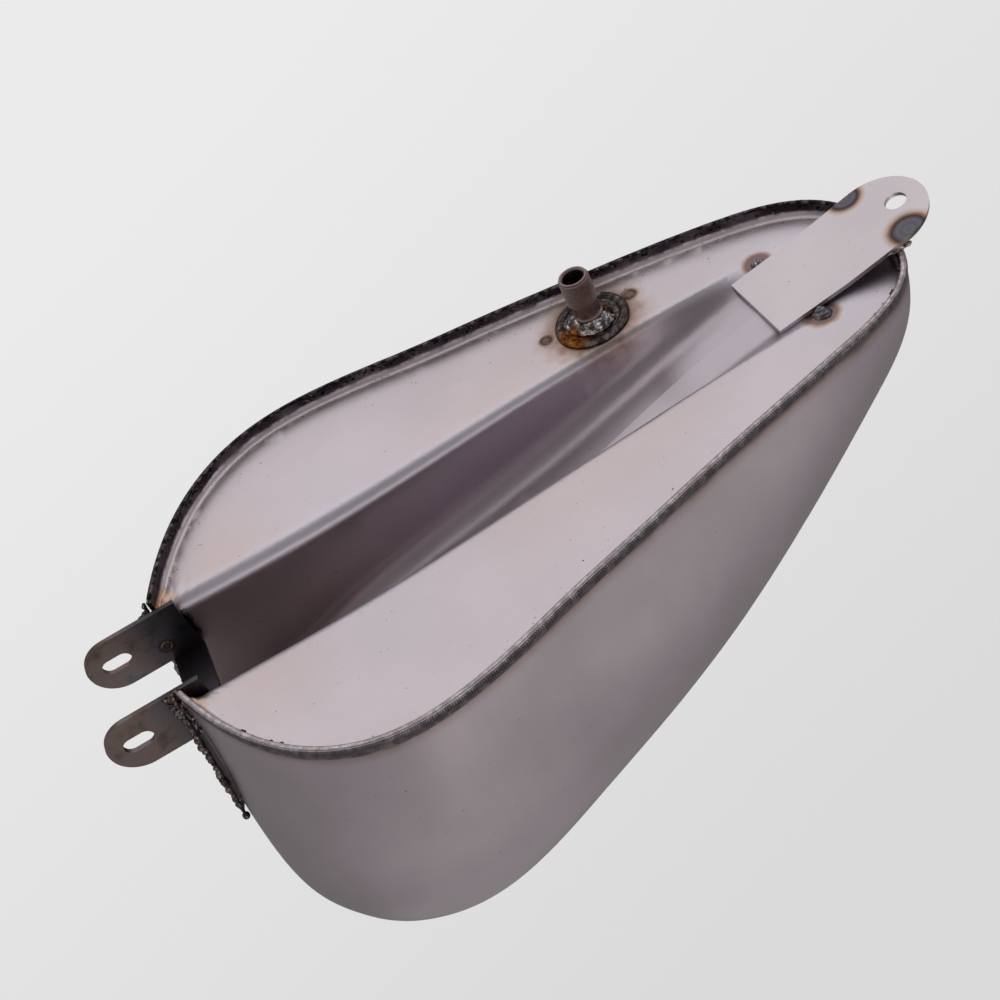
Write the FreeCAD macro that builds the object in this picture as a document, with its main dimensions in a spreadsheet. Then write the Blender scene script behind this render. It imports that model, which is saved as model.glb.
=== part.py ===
import FreeCAD, Part
import bisect
import math
import os
import re
import Sketcher

# Motorcycle fuel tank of welded mild steel sheet.
# Frame: +X forward, +Y to the rider's left, +Z up, millimetres.
# The origin is the middle of the front mounting axis, which runs through both tab slots.
# Shapes are built from the tank's own datum: the front end of the rim, in the rim plane.
# Every finished object is then moved by (rim_front_x, 0, rim_level).

doc = FreeCAD.newDocument("fuel_tank")
sheet = doc.addObject("Spreadsheet::Sheet", "Sizes")

SIZES = [
    ("rim_front_x", -32.0),
    ("rim_level", -22.0),
    ("tank_length", 450.0),
    ("sheet_gauge", 1.2),
    ("rim_wave", 5.3),
    ("rim_bow", 1.5),
    ("tail_drop", 2.5),
    ("recess_depth", 8.0),
    ("front_bulge", 13.0),
    ("rear_bulge", 10.0),
    ("mouth_lean", 0.13),
    ("mouth_top", 115.0),
    ("seam_gap", 0.75),
    ("flange_gap", 0.35),
    ("flange_radius", 5.0),
    ("mouth_lip", 1.5),
    ("tunnel_wall_y", 34.2),
    ("tunnel_roof_y", 30.5),
    ("crest_radius_front", 11.0),
    ("crest_radius_rear", 6.0),
    ("roof_radius", 16.0),
    ("tab_gauge", 3.0),
    ("bracket_half_width", 32.8),
    ("bracket_rear_x", -13.0),
    ("saddle_front_x", 6.0),
    ("saddle_top", 43.3),
    ("saddle_bend", 4.0),
    ("tab_tip_x", 49.5),
    ("tab_low", 4.0),
    ("tab_top", 40.4),
    ("tab_corner", 17.6),
    ("slot_x", 32.0),
    ("slot_height", 22.0),
    ("slot_length", 17.6),
    ("slot_width", 10.0),
    ("tongue_gauge", 2.5),
    ("tongue_front_x", -368.5),
    ("tongue_front_low", 4.8),
    ("tongue_bend_x", -412.0),
    ("tongue_bend_low", -1.2),
    ("tongue_round_x", -449.0),
    ("tongue_front_half", 26.4),
    ("tongue_rear_half", 28.0),
    ("tongue_tip_low", -14.0),
    ("tongue_hole_x", -461.3),
    ("tongue_hole_radius", 6.1),
    ("spigot_x", -294.7),
    ("spigot_y", 59.0),
    ("spigot_floor", 3.3),
    ("spigot_tilt", 1.8),
    ("thread_radius", 9.0),
    ("shank_radius", 8.7),
    ("thread_pitch", 1.5),
    ("thread_count", 11),
    ("spigot_end", 34.5),
    ("spigot_bore", 6.3),
    ("waist_radius", 7.8),
    ("boss_radius", 22.3),
    ("boss_gauge", 1.6),
    ("spigot_inside", 12.0),
    ("backing_length", 74.0),
    ("backing_width", 32.0),
    ("backing_gauge", 2.0),
    ("neck_x", -95.0),
    ("neck_seat", 213.3),
    ("neck_bore", 22.0),
    ("neck_radius", 26.0),
    ("neck_rise", 12.0),
    ("neck_flange", 30.0),
    ("plug_clearance", 0.07),
    ("cap_radius", 33.0),
    ("cap_thickness", 13.0),
    ("cap_skirt", 4.0),
    ("gasket_gauge", 2.4),
    ("gasket_inner", 22.6),
    ("plug_depth", 12.0),
    ("plug_wall", 2.4),
    ("vent_boss", 8.0),
    ("vent_bore", 5.0),
    ("vent_hole", 1.6),
    ("screw_circle", 15.0),
    ("cap_scallops", 16),
]
for row, (alias, value) in enumerate(SIZES, start=1):
    sheet.set("A%d" % row, alias)
    sheet.set("B%d" % row, "%g" % value)
    sheet.setAlias("B%d" % row, alias)
doc.recompute()

V = FreeCAD.Vector
parts = []


def size(alias):
    return float(sheet.get(alias))


def bound(text):
    """Turn 'tab_top - 2 * tab_gauge' into an expression that reads the sheet."""
    return re.sub(r"([a-z][a-z_]+)", r"Sizes.\1", text)


def number(text):
    """The present value of a sum of products such as 'tab_top - 2 * tab_gauge'."""
    total = 0.0
    sign = 1.0
    product = None
    divide = False
    for word in text.split() + ["+"]:
        if word in "+-":
            total += 0.0 if product is None else sign * product
            sign = -1.0 if word == "-" else 1.0
            product = None
        elif word in "*/":
            divide = word == "/"
        else:
            value = size(word) if word[0].isalpha() else float(word)
            if product is None:
                product = value
            else:
                product = product / value if divide else product * value
    return total


def finish(obj, label, at=("0", "0", "0"), turn=None):
    """Name an object, move it from the tank's datum to the frame's origin and keep it for export."""
    if turn is not None:
        obj.Placement = FreeCAD.Placement(V(0, 0, 0), turn)
    obj.setExpression(".Placement.Base.x", bound("rim_front_x + " + at[0]))
    obj.setExpression(".Placement.Base.y", bound(at[1]))
    obj.setExpression(".Placement.Base.z", bound("rim_level + " + at[2]))
    obj.Label = label
    parts.append(obj)
    return obj


def feature(label, shape):
    """A finished shape as an object; where it already stands in the tank's datum is kept."""
    obj = doc.addObject("Part::Feature", label + "_shape")
    obj.Shape = shape
    own = shape.Placement
    return finish(obj, label, ["(%.6f)" % value for value in own.Base], own.Rotation)


# ---------------------------------------------------------------- curves of the tank

LENGTH = size("tank_length")
GAUGE = size("sheet_gauge")


def clamped_curve(poles):
    curve = Part.BSplineCurve()
    curve.buildFromPoles(poles, False, 3)
    return curve


def rim_curve():
    """Left half of the rim in plan, from the tunnel mouth to the tail."""
    poles = [(0, MOUTH_Y), (-17.5, 86), (-65.5, 138.2), (-136.2, 137.6), (-199.6, 117.2)]
    poles += [(-242.5, 108.4), (-303.4, 91.8), (-378.1, 74.8), (-LENGTH, 52.2), (-LENGTH, 0)]
    return clamped_curve([V(x, y, 0) for x, y in poles])


def top_curve():
    """Top centre line in side view, from above the tunnel mouth to the tail."""
    poles = [(15, MOUTH_TOP), (15, 158), (2, 162), (-60, 226), (-150, 203)]
    poles += [(-240, 167), (-330, 120), (-410, 66), (-447, 36), (-LENGTH, 14)]
    return clamped_curve([V(x, 0, z) for x, z in poles])


def roof_curve():
    """Roof of the frame tunnel in side view: deep at the mouth, running out towards the tail."""
    points = [(45, 122), (0, 112), (-60, 88), (-120, 70), (-180, 59), (-240, 47), (-290, 32)]
    points += [(-330, 20.5), (-365, 12.5), (-395, 6.5), (-420, 3.4), (-475, 2.5)]
    curve = Part.BSplineCurve()
    curve.interpolate([V(x, 0, z) for x, z in points])
    return curve


MOUTH_Y = size("tunnel_wall_y") + GAUGE + size("seam_gap")
MOUTH_TOP = size("mouth_top")
RIM = rim_curve()
TOP = top_curve()
ROOF = roof_curve()


def rim_height(x):
    """The rim isn't flat: it rises at the shoulders, sags behind the middle and drops at the tail."""
    along = min(max(-x / LENGTH, 0.0), 1.0)
    bump = along * (1 - along)
    wave = 8 * size("rim_wave") * bump * (1 - 2 * along)
    bow = 4 * size("rim_bow") * bump
    return wave - bow - size("tail_drop") * along ** 8


def roof_height(x):
    hit = ROOF.intersect(Part.Line(V(x, 0, 0), V(x, 0, 1)))
    return hit[0].Z if hit else 0.0


def blend(value, stops):
    """Smooth interpolation through (position, value) stops."""
    if value <= stops[0][0]:
        return stops[0][1]
    for (a, start), (b, end) in zip(stops, stops[1:]):
        if value <= b:
            share = (value - a) / (b - a)
            return start + (end - start) * share * share * (3 - 2 * share)
    return stops[-1][1]


def rounded(corners, radii, counts):
    """Points along a polyline with its inner corners rounded; counts are per stretch, bends included."""
    lengths = [math.dist(a, b) for a, b in zip(corners, corners[1:])]
    cuts = []
    for i, radius in enumerate(radii, start=1):
        before = [(corners[i][k] - corners[i - 1][k]) / lengths[i - 1] for k in range(2)]
        after = [(corners[i + 1][k] - corners[i][k]) / lengths[i] for k in range(2)]
        turn = math.acos(min(max(before[0] * after[0] + before[1] * after[1], -1.0), 1.0))
        cuts.append(radius * math.tan(turn / 2))
    shares = [1.0] * len(cuts)
    for i, length in enumerate(lengths):
        wanted = sum(cuts[j] for j in (i - 1, i) if 0 <= j < len(cuts))
        for j in (i - 1, i):
            if 0 <= j < len(cuts) and wanted > 0:
                shares[j] = min(shares[j], 0.97 * length / wanted)
    points = []
    start = corners[0]
    for i, cut in enumerate(cuts, start=1):
        reach = cut * shares[i - 1]
        entry = towards(corners[i], corners[i - 1], reach)
        leave = towards(corners[i], corners[i + 1], reach)
        points += straight(start, entry, counts[2 * i - 2])
        points += bend(entry, corners[i], leave, counts[2 * i - 1])
        start = leave
    points += straight(start, corners[-1], counts[-1])
    points.append(corners[-1])
    return points


def towards(a, b, reach):
    length = math.dist(a, b)
    return tuple(a[k] + (b[k] - a[k]) * reach / length for k in range(2))


def straight(a, b, count):
    return [tuple(a[k] + (b[k] - a[k]) * i / count for k in range(2)) for i in range(count)]


def bend(a, corner, b, count):
    """A conic close to a circular arc, tangent to both sides at a and b."""
    weight = 0.5 * math.dist(a, b) / max(math.dist(corner, a), 1e-6)
    points = []
    for i in range(count):
        f = i / count
        wa = (1 - f) ** 2
        wc = 2 * f * (1 - f) * weight
        wb = f ** 2
        total = wa + wc + wb
        points.append(tuple((wa * a[k] + wc * corner[k] + wb * b[k]) / total for k in range(2)))
    return points


# ---------------------------------------------------------------- grid surfaces


def flipped(point):
    return V(point.x, -point.y, point.z)


def grid_surface(rows, seam_first):
    """Surface through half a grid that crosses the plane y = 0 squarely at its seam column and last row."""
    ghosts = 3
    wide = []
    for row in rows:
        if seam_first:
            wide.append([flipped(p) for p in reversed(row[1:ghosts + 1])] + row)
        else:
            wide.append(row + [flipped(p) for p in reversed(row[-ghosts - 1:-1])])
    beyond = [[flipped(p) for p in row] for row in reversed(wide[-ghosts - 1:-1])]
    surface = Part.BSplineSurface()
    surface.interpolate(wide + beyond)
    along = surface.getUKnots()
    across = surface.getVKnots()
    if seam_first:
        surface.segment(along[0], along[len(rows) - 1], across[ghosts], across[-1])
    else:
        surface.segment(along[0], along[len(rows) - 1], across[0], across[len(rows[0]) - 1])
    return surface


def ruled(curve_a, curve_b):
    return Part.makeRuledSurface(curve_a.toShape(), curve_b.toShape())


def sheet_faces(outer, inner):
    """Faces of a thin sheet: outside, inside, first row, last row, first column, last column."""
    u_low, u_high, v_low, v_high = outer.bounds()
    i_low, i_high, j_low, j_high = inner.bounds()
    return [
        outer.toShape(),
        inner.toShape(),
        ruled(outer.uIso(u_low), inner.uIso(i_low)),
        ruled(outer.uIso(u_high), inner.uIso(i_high)),
        ruled(outer.vIso(v_low), inner.vIso(j_low)),
        ruled(outer.vIso(v_high), inner.vIso(j_high)),
    ]


def sewn_solid(faces):
    shell = Part.makeShell(faces)
    shell.sewShape()
    solid = Part.makeSolid(shell)
    if solid.Volume < 0:
        solid.reverse()
    return solid


def offset_grid(rows, distance, flat_rows, flat_columns):
    """Move a grid of points along its normals; flat rows and columns stay in the plane y = 0."""
    last_i = len(rows) - 1
    last_j = len(rows[0]) - 1
    moved = []
    for i, row in enumerate(rows):
        new_row = []
        for j, point in enumerate(row):
            along = rows[min(i + 1, last_i)][j] - rows[max(i - 1, 0)][j]
            across = row[min(j + 1, last_j)] - row[max(j - 1, 0)]
            normal = along.cross(across)
            if i in flat_rows:
                normal = V(-1, 0, 0) if flat_rows[i] is None else V(across.z, 0, -across.x) * flat_rows[i]
            if j in flat_columns:
                normal.y = 0
            normal.normalize()
            new_row.append(point + normal * distance)
        moved.append(new_row)
    return moved


# ---------------------------------------------------------------- side pressings


def mouth_arch(count):
    """Half outline of the hole that the tunnel leaves in the shell's front end, from rim to top."""
    roof_y = size("tunnel_roof_y") + GAUGE + size("seam_gap")
    corners = [(MOUTH_Y, 0.0), (roof_y, MOUTH_TOP), (0.0, MOUTH_TOP)]
    return rounded(corners, [size("roof_radius") + GAUGE], [count - 16, 10, 6])


def shell_rows(stations, count):
    """Grid of the left pressing's outside: rows run from rim to top seam, mouth first."""
    arch = mouth_arch(count)
    rows = []
    for i in range(stations + 1):
        s = 1 - (1 - (i / stations) ** 1.25) ** 1.25
        rim = RIM.value(s)
        top = TOP.value(s)
        base = rim_height(rim.x)
        power = 2.0 / blend(s, [(0, 4.2), (0.15, 3.6), (0.5, 3.45), (1, 2.6)])
        bulge = blend(s, [(0, 0), (0.2, size("front_bulge")), (0.6, size("rear_bulge")), (1, 0)])
        formed = blend(s, [(0, 0), (0.16, 1)])
        row = []
        for j in range(count + 1):
            angle = math.pi / 2 * (1 - math.cos(math.pi * j / count)) / 2
            rise = math.sin(angle) ** power
            reach = max(math.cos(angle), 0.0) ** power
            arch_rise = arch[j][1] / MOUTH_TOP
            arch_y = arch[j][0] + (rim.y - MOUTH_Y) * reach
            share = arch_rise + (rise - arch_rise) * formed
            y = arch_y + (rim.y * reach + bulge * math.sin(2 * angle) - arch_y) * formed
            x = rim.x + (top.x - rim.x) * share ** 1.7
            z = base + (top.z - base) * share
            if i == stations or j == count:
                y = 0.0
            row.append(V(x, y, z))
        rows.append(row)
    return rows


def left_pressing():
    stations = 40
    outer = shell_rows(stations, 30)
    inner = offset_grid(outer, -GAUGE, {stations: None}, {30})
    return sewn_solid(sheet_faces(grid_surface(outer, False), grid_surface(inner, False)))


# ---------------------------------------------------------------- bottom pan


def inset_rim(s, inset):
    """Point of the rim curve moved inwards in plan."""
    ahead = RIM.value(min(s + 0.002, 1)) - RIM.value(max(s - 0.002, 0))
    inward = V(ahead.y, -ahead.x, 0)
    here = RIM.value(s)
    if inward.dot(V(-170, 0, 0) - here) < 0:
        inward = inward * -1
    inward.normalize()
    moved = here + inward * inset
    if s >= 1:
        moved = V(here.x + inset, 0, 0)
    return moved


def at_length(points, lengths, wanted):
    """Point of a polyline at a given length along it."""
    last = len(points) - 2
    i = min(max(bisect.bisect_right(lengths, wanted) - 1, 0), last)
    share = (wanted - lengths[i]) / max(lengths[i + 1] - lengths[i], 1e-9)
    return tuple(points[i][k] + (points[i + 1][k] - points[i][k]) * share for k in range(2))


def spread(points, crest):
    """Points of a section at lengths that stay well apart, closer together at the crest and the flange."""
    lengths = [0.0]
    for a, b in zip(points, points[1:]):
        lengths.append(lengths[-1] + math.dist(a, b))
    whole = lengths[-1]
    scale = 1.15 * whole / (whole + 20)
    half_crest = 8 * scale
    flange = whole - 18 * scale
    clear = 4.0
    soft = 3.0
    middle = max(lengths[crest], half_crest + clear)
    limit = flange - half_crest - clear
    middle = 0.5 * (middle + limit - math.hypot(middle - limit, soft))
    stops = [0.0, middle - half_crest, middle + half_crest, flange, whole]
    even_share = 0.4
    gaps = []
    for a, b, count in zip(stops, stops[1:], PAN_COLUMNS):
        gaps += [(1 - even_share) * (b - a) / count + even_share * whole / sum(PAN_COLUMNS)] * count
    for smoothing in range(3):
        before = gaps[:1] + gaps[:-1]
        after = gaps[1:] + gaps[-1:]
        gaps = [(a + gap + b) / 3 for a, gap, b in zip(before, gaps, after)]
    chosen = [points[0]]
    reached = 0.0
    for gap in gaps[:-1]:
        reached += gap * whole / sum(gaps)
        chosen.append(at_length(points, lengths, reached))
    return chosen + [points[-1]]


PAN_COLUMNS = [18, 10, 18, 14]


def pan_rows(stations):
    """Grid of the pan's visible underside: rows run from the tunnel's middle to the rim, mouth first."""
    flange_inset = 2 * GAUGE + size("flange_gap")
    rows = []
    for i in range(stations + 1):
        s = 1 - (1 - (i / stations) ** 1.35) ** 1.3
        rim = inset_rim(s, flange_inset)
        fan = 30 * (s / 0.11) * math.exp(1 - s / 0.11)
        centre_x = 0.944 * rim.x - fan * (1 - s)
        mouth = math.exp(-((s / 0.045) ** 2))
        width = math.hypot(rim.x - centre_x, rim.y)
        cap = blend(s, [(0.6, 0.985), (0.97, 0.55)])
        wall = width * min(size("tunnel_wall_y") / max(rim.y, 1), cap)
        slant = blend(-rim.x, [(220, size("tunnel_wall_y") - size("tunnel_roof_y")), (400, 15)])
        top = width * min((size("tunnel_wall_y") - slant) / max(rim.y, 1), cap - 0.09)
        crest_x = centre_x + (rim.x - centre_x) * wall / width
        floor = size("recess_depth") + rim_height(rim.x)
        roof = max(roof_height(crest_x), floor + 0.2)
        crest = blend(-crest_x, [(0, size("crest_radius_front")), (350, size("crest_radius_rear"))])
        corners = [(0.0, roof), (top, roof), (wall, floor), (width, floor), (width, rim_height(rim.x))]
        radii = [size("roof_radius"), crest, size("flange_radius")]
        counts = [16, 24, 16, 24, 16, 24, 8]
        row = []
        for u, z in spread(rounded(corners, radii, counts), sum(counts[:3]) + counts[3] // 2):
            share = u / width
            x = centre_x + (rim.x - centre_x) * share
            lip = blend(u, [(wall - 1, mouth), (0.6 * wall + 0.4 * width, 0)])
            x += lip * (size("mouth_lip") - rim.x * share + size("mouth_lean") * max(z, 0))
            y = rim.y * share
            if i == stations:
                y = 0.0
            row.append(V(x, y, z))
        rows.append(row)
    return rows


def bottom_pan():
    stations = 56
    under = pan_rows(stations)
    over = offset_grid(under, -GAUGE, {stations: -1}, {0})
    faces = sheet_faces(grid_surface(under, True), grid_surface(over, True))
    half = [faces[0], faces[1], faces[2], faces[5]]
    return sewn_solid(half + [face.mirror(V(0, 0, 0), V(0, 1, 0)) for face in half])


# ---------------------------------------------------------------- primitives bound to the sheet


def box(name, lengths, corner):
    solid = doc.addObject("Part::Box", name)
    for key, text in zip(("Length", "Width", "Height"), lengths):
        solid.setExpression(key, bound(text))
    for key, text in zip("xyz", corner):
        solid.setExpression(".Placement.Base." + key, bound(text))
    return solid


def rod(name, radius, height, foot, turn=None):
    solid = doc.addObject("Part::Cylinder", name)
    if turn is not None:
        solid.Placement = FreeCAD.Placement(V(0, 0, 0), turn)
    solid.setExpression("Radius", bound(radius))
    solid.setExpression("Height", bound(height))
    for key, text in zip("xyz", foot):
        solid.setExpression(".Placement.Base." + key, bound(text))
    return solid


def cut(name, base, tool):
    result = doc.addObject("Part::Cut", name)
    result.Base = base
    result.Tool = tool
    doc.recompute()
    return result


def fuse(name, shapes):
    result = doc.addObject("Part::MultiFuse", name)
    result.Shapes = shapes
    doc.recompute()
    return result


def round_edges(name, base, radius, chosen):
    """Fillet the edges of base whose middle point satisfies chosen."""
    result = doc.addObject("Part::Fillet", name)
    result.Base = base
    edges = []
    for index, edge in enumerate(base.Shape.Edges, start=1):
        if chosen(edge):
            edges.append((index, size(radius), size(radius)))
    result.Edges = edges
    doc.recompute()
    return result


def middle(edge):
    return edge.valueAt((edge.FirstParameter + edge.LastParameter) / 2)


def runs_along(edge, axis):
    direction = edge.tangentAt(edge.FirstParameter)
    return abs(abs(direction.dot(axis)) - 1) < 1e-6


def local(obj):
    """Shape of a finished object in the tank's datum."""
    shape = obj.Shape.copy()
    shape.translate(V(-size("rim_front_x"), 0, -size("rim_level")))
    return shape


# ---------------------------------------------------------------- turned pieces


def sketch_polygon(body, name, plane, corners):
    """Closed polygon on one of the body's own planes, every corner bound to the sheet."""
    sketch = body.newObject("Sketcher::SketchObject", name)
    origin_plane = [f for f in body.Origin.OriginFeatures if f.Role == plane][0]
    sketch.AttachmentSupport = [(origin_plane, "")]
    sketch.MapMode = "FlatFace"
    values = [(number(a), number(b)) for a, b in corners]
    count = len(corners)
    for i in range(count):
        a = values[i]
        b = values[(i + 1) % count]
        sketch.addGeometry(Part.LineSegment(V(a[0], a[1], 0), V(b[0], b[1], 0)), False)
    for i in range(count):
        sketch.addConstraint(Sketcher.Constraint("Coincident", i, 2, (i + 1) % count, 1))
    for i, (across, up) in enumerate(corners):
        pin_corner(sketch, i, "DistanceX", across, values[i][0], -2)
        pin_corner(sketch, i, "DistanceY", up, values[i][1], -1)
    return sketch


def pin_corner(sketch, line, kind, text, value, axis):
    if abs(value) < 1e-9:
        sketch.addConstraint(Sketcher.Constraint("PointOnObject", line, 1, axis))
        return
    index = sketch.addConstraint(Sketcher.Constraint(kind, -1, 1, line, 1, value))
    sketch.setExpression("Constraints[%d]" % index, bound(text))


def turned(label, corners, at, turn=None):
    """Body of revolution about its own Z axis; corners are (radius, height) texts."""
    body = doc.addObject("PartDesign::Body", label + "_body")
    sketch = sketch_polygon(body, label + "_profile", "XZ_Plane", corners)
    spin = body.newObject("PartDesign::Revolution", label + "_spin")
    spin.Profile = sketch
    spin.ReferenceAxis = (sketch, ["V_Axis"])
    spin.Angle = 360
    doc.recompute()
    return finish(body, label, at, turn)


# ---------------------------------------------------------------- tank body

doc.recompute()
pan_sheet = bottom_pan()
left_sheet = left_pressing()
FILLER_HOLE = Part.makeCylinder(size("neck_radius") + 0.15, 120, V(size("neck_x"), 0, 150))
left_sheet = left_sheet.cut(FILLER_HOLE)
right_sheet = left_sheet.mirror(V(0, 0, 0), V(0, 1, 0))
DOWN = FreeCAD.Rotation(V(0, 1, 0), -size("spigot_tilt")) * FreeCAD.Rotation(V(1, 0, 0), 180)
SPIGOT_AT = ("spigot_x", "spigot_y", "spigot_floor")
spigot_foot = V(size("spigot_x"), size("spigot_y"), size("spigot_floor"))
spigot_axis = DOWN.multVec(V(0, 0, 1))
pan_sheet = pan_sheet.cut(
    Part.makeCylinder(size("thread_radius") + 0.15, 12, spigot_foot - spigot_axis * 6, spigot_axis)
)
feature("shell_left", left_sheet)
feature("shell_right", right_sheet)
feature("bottom_pan", pan_sheet)


# ---------------------------------------------------------------- front bracket


def front_bracket():
    """Saddle strip across the tunnel mouth with two slotted tabs that point forward."""
    saddle_length = "saddle_front_x - bracket_rear_x"
    tall = "saddle_top - tab_low"
    outer = box("saddle_block", (saddle_length, "2 * bracket_half_width", tall),
                ("bracket_rear_x", "-1 * bracket_half_width", "tab_low"))
    doc.recompute()
    top = size("saddle_top")
    outer = round_edges("saddle_bends", outer, "saddle_bend",
                        lambda e: runs_along(e, V(1, 0, 0)) and middle(e).z > top - 0.1)
    inner = box("saddle_space",
                (saddle_length + " + 2", "2 * bracket_half_width - 2 * tab_gauge", tall),
                ("bracket_rear_x - 1", "tab_gauge - bracket_half_width", "tab_low - tab_gauge"))
    saddle = cut("saddle", outer, inner)
    tabs = []
    for name, side in (("left", "bracket_half_width - tab_gauge"), ("right", "-1 * bracket_half_width")):
        tab = box("tab_blank_" + name, ("tab_tip_x - bracket_rear_x", "tab_gauge", "tab_top - tab_low"),
                  ("bracket_rear_x", side, "tab_low"))
        doc.recompute()
        tip = size("tab_tip_x")
        tabs.append(round_edges("tab_" + name, tab, "tab_corner",
                                lambda e: runs_along(e, V(0, 1, 0)) and middle(e).x > tip - 0.1))
    blank = fuse("bracket_blank", [saddle] + tabs)
    along_y = FreeCAD.Rotation(V(1, 0, 0), -90)
    half_run = "slot_length / 2 - slot_width / 2"
    through = "3 * bracket_half_width"
    start = "-1.5 * bracket_half_width"
    slot = [
        rod("slot_front", "slot_width / 2", through,
            ("slot_x + " + half_run, start, "slot_height"), along_y),
        rod("slot_rear", "slot_width / 2", through,
            ("slot_x - slot_length / 2 + slot_width / 2", start, "slot_height"), along_y),
        box("slot_middle", ("slot_length - slot_width", through, "slot_width"),
            ("slot_x - slot_length / 2 + slot_width / 2", start, "slot_height - slot_width / 2")),
    ]
    return finish(cut("bracket_slotted", blank, fuse("slot", slot)), "front_bracket")


bracket = front_bracket()


# ---------------------------------------------------------------- rear tongue


def tongue_plate():
    """Flat tongue with a slight bend and a round end, lying in the tunnel's tail and past the rim."""
    side = [
        ("tongue_front_x", "tongue_front_low"),
        ("tongue_bend_x", "tongue_bend_low"),
        ("tongue_round_x - tongue_rear_half", "tongue_tip_low"),
        ("tongue_round_x - tongue_rear_half", "tongue_tip_low + tongue_gauge"),
        ("tongue_bend_x", "tongue_bend_low + tongue_gauge"),
        ("tongue_front_x", "tongue_front_low + tongue_gauge"),
    ]
    body = doc.addObject("PartDesign::Body", "tongue_body")
    sketch = sketch_polygon(body, "tongue_side", "XZ_Plane", side)
    pad = body.newObject("PartDesign::Pad", "tongue_pad")
    pad.Profile = sketch
    pad.setExpression("Length", bound("2 * tongue_rear_half"))
    pad.Midplane = True
    doc.recompute()
    front = size("tongue_front_x")
    bend_x = size("tongue_bend_x")
    rear = size("tongue_round_x")
    narrow = size("tongue_front_half")
    wide = size("tongue_rear_half")
    outline = [
        Part.makeLine(V(front, -narrow, -60), V(front, narrow, -60)),
        Part.makeLine(V(front, narrow, -60), V(rear, wide, -60)),
        Part.Arc(V(rear, wide, -60), V(rear - wide, 0, -60), V(rear, -wide, -60)).toShape(),
        Part.makeLine(V(rear, -wide, -60), V(front, -narrow, -60)),
    ]
    blank = Part.Face(Part.Wire(outline)).extrude(V(0, 0, 120))
    run = rear - wide - bend_x
    slope = (size("tongue_tip_low") - size("tongue_bend_low")) / run
    hole_x = size("tongue_hole_x")
    hole_z = size("tongue_bend_low") + slope * (hole_x - bend_x)
    across = V(-slope, 0, 1)
    hole = Part.makeCylinder(size("tongue_hole_radius"), 20, V(hole_x, 0, hole_z) - across * 8, across)
    return feature("tongue_plate", body.Shape.common(blank).cut(hole))


tongue = tongue_plate()

# ---------------------------------------------------------------- fuel spigot


def thread_teeth(first, crest, root, pitch, turns):
    """Ring-shaped thread teeth as (radius, height) texts, starting at height first."""
    teeth = []
    for turn in range(turns):
        start = first + turn * pitch
        teeth.append((root, "%g" % start))
        teeth.append((crest, "%g" % (start + pitch * 0.42)))
        teeth.append((crest, "%g" % (start + pitch * 0.58)))
    teeth.append((root, "%g" % (first + turns * pitch)))
    return teeth


def fuel_spigot():
    turns = int(size("thread_count"))
    pitch = size("thread_pitch")
    first = size("spigot_end") - 1.0 - turns * pitch
    corners = [
        ("spigot_bore", "-1 * spigot_inside"),
        ("shank_radius", "-1 * spigot_inside"),
        ("shank_radius", "7.2"),
        ("waist_radius", "8.4"),
        ("waist_radius", "%g" % (first - 0.5)),
    ]
    corners += thread_teeth(first, "thread_radius", "thread_radius - 0.9", pitch, turns)
    corners += [("thread_radius - 0.8", "spigot_end"), ("spigot_bore + 0.8", "spigot_end")]
    corners += [("spigot_bore", "spigot_end - 0.9")]
    return turned("fuel_spigot", corners, SPIGOT_AT, DOWN)


def spigot_boss():
    hole = "shank_radius + 0.15"
    corners = [
        (hole, "0.1"),
        ("boss_radius", "0.1"),
        ("boss_radius", "1.1"),
        ("boss_radius - 0.8", "2.4"),
        ("boss_radius - 2.1", "3.1"),
        ("boss_radius - 3.6", "3.1"),
        ("boss_radius - 4.9", "2.3"),
        ("boss_radius - 5.8", "1.5"),
        (hole, "1.5"),
    ]
    return turned("spigot_boss", corners, SPIGOT_AT, DOWN)


def spigot_weld():
    inner = "shank_radius + 0.03"
    corners = [
        (inner, "1.52"),
        ("thread_radius + 6.4", "1.52"),
        ("thread_radius + 5.4", "2.9"),
        ("thread_radius + 3.5", "4.3"),
        ("thread_radius + 1.6", "5.8"),
        (inner, "6.7"),
    ]
    return turned("spigot_weld", corners, SPIGOT_AT, DOWN)


def spigot_backing_plate():
    """Inner doubler, spot-welded to the pan at both ends."""
    lift = GAUGE + 0.8
    plate = Part.makeBox(
        size("backing_length"),
        size("backing_width"),
        size("backing_gauge"),
        V(-size("backing_length") / 2, -size("backing_width") / 2 - 5, -size("backing_gauge") - lift),
    )
    upright = [edge for edge in plate.Edges if runs_along(edge, V(0, 0, 1))]
    plate = plate.makeFillet(6, upright)
    plate = plate.cut(Part.makeCylinder(size("thread_radius") + 0.2, 40, V(0, 0, -20)))
    plate.Placement = FreeCAD.Placement(spigot_foot, DOWN)
    return feature("spigot_backing_plate", plate)


fuel_spigot()
spigot_boss()
spigot_weld()
spigot_backing_plate()

# ---------------------------------------------------------------- filler neck and screw cap

NECK_AT = ("neck_x", "0", "neck_seat")
CAP_AT = ("neck_x", "0", "neck_seat + neck_rise")


def filler_neck():
    corners = [
        ("neck_bore", "-14"),
        ("neck_radius", "-14"),
        ("neck_radius", "neck_rise - 4"),
        ("neck_flange", "neck_rise - 4"),
        ("neck_flange", "neck_rise - 1"),
        ("neck_flange - 1", "neck_rise"),
        ("neck_bore + 0.8", "neck_rise"),
        ("neck_bore", "neck_rise - 0.8"),
    ]
    return turned("filler_neck", corners, NECK_AT)


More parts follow.
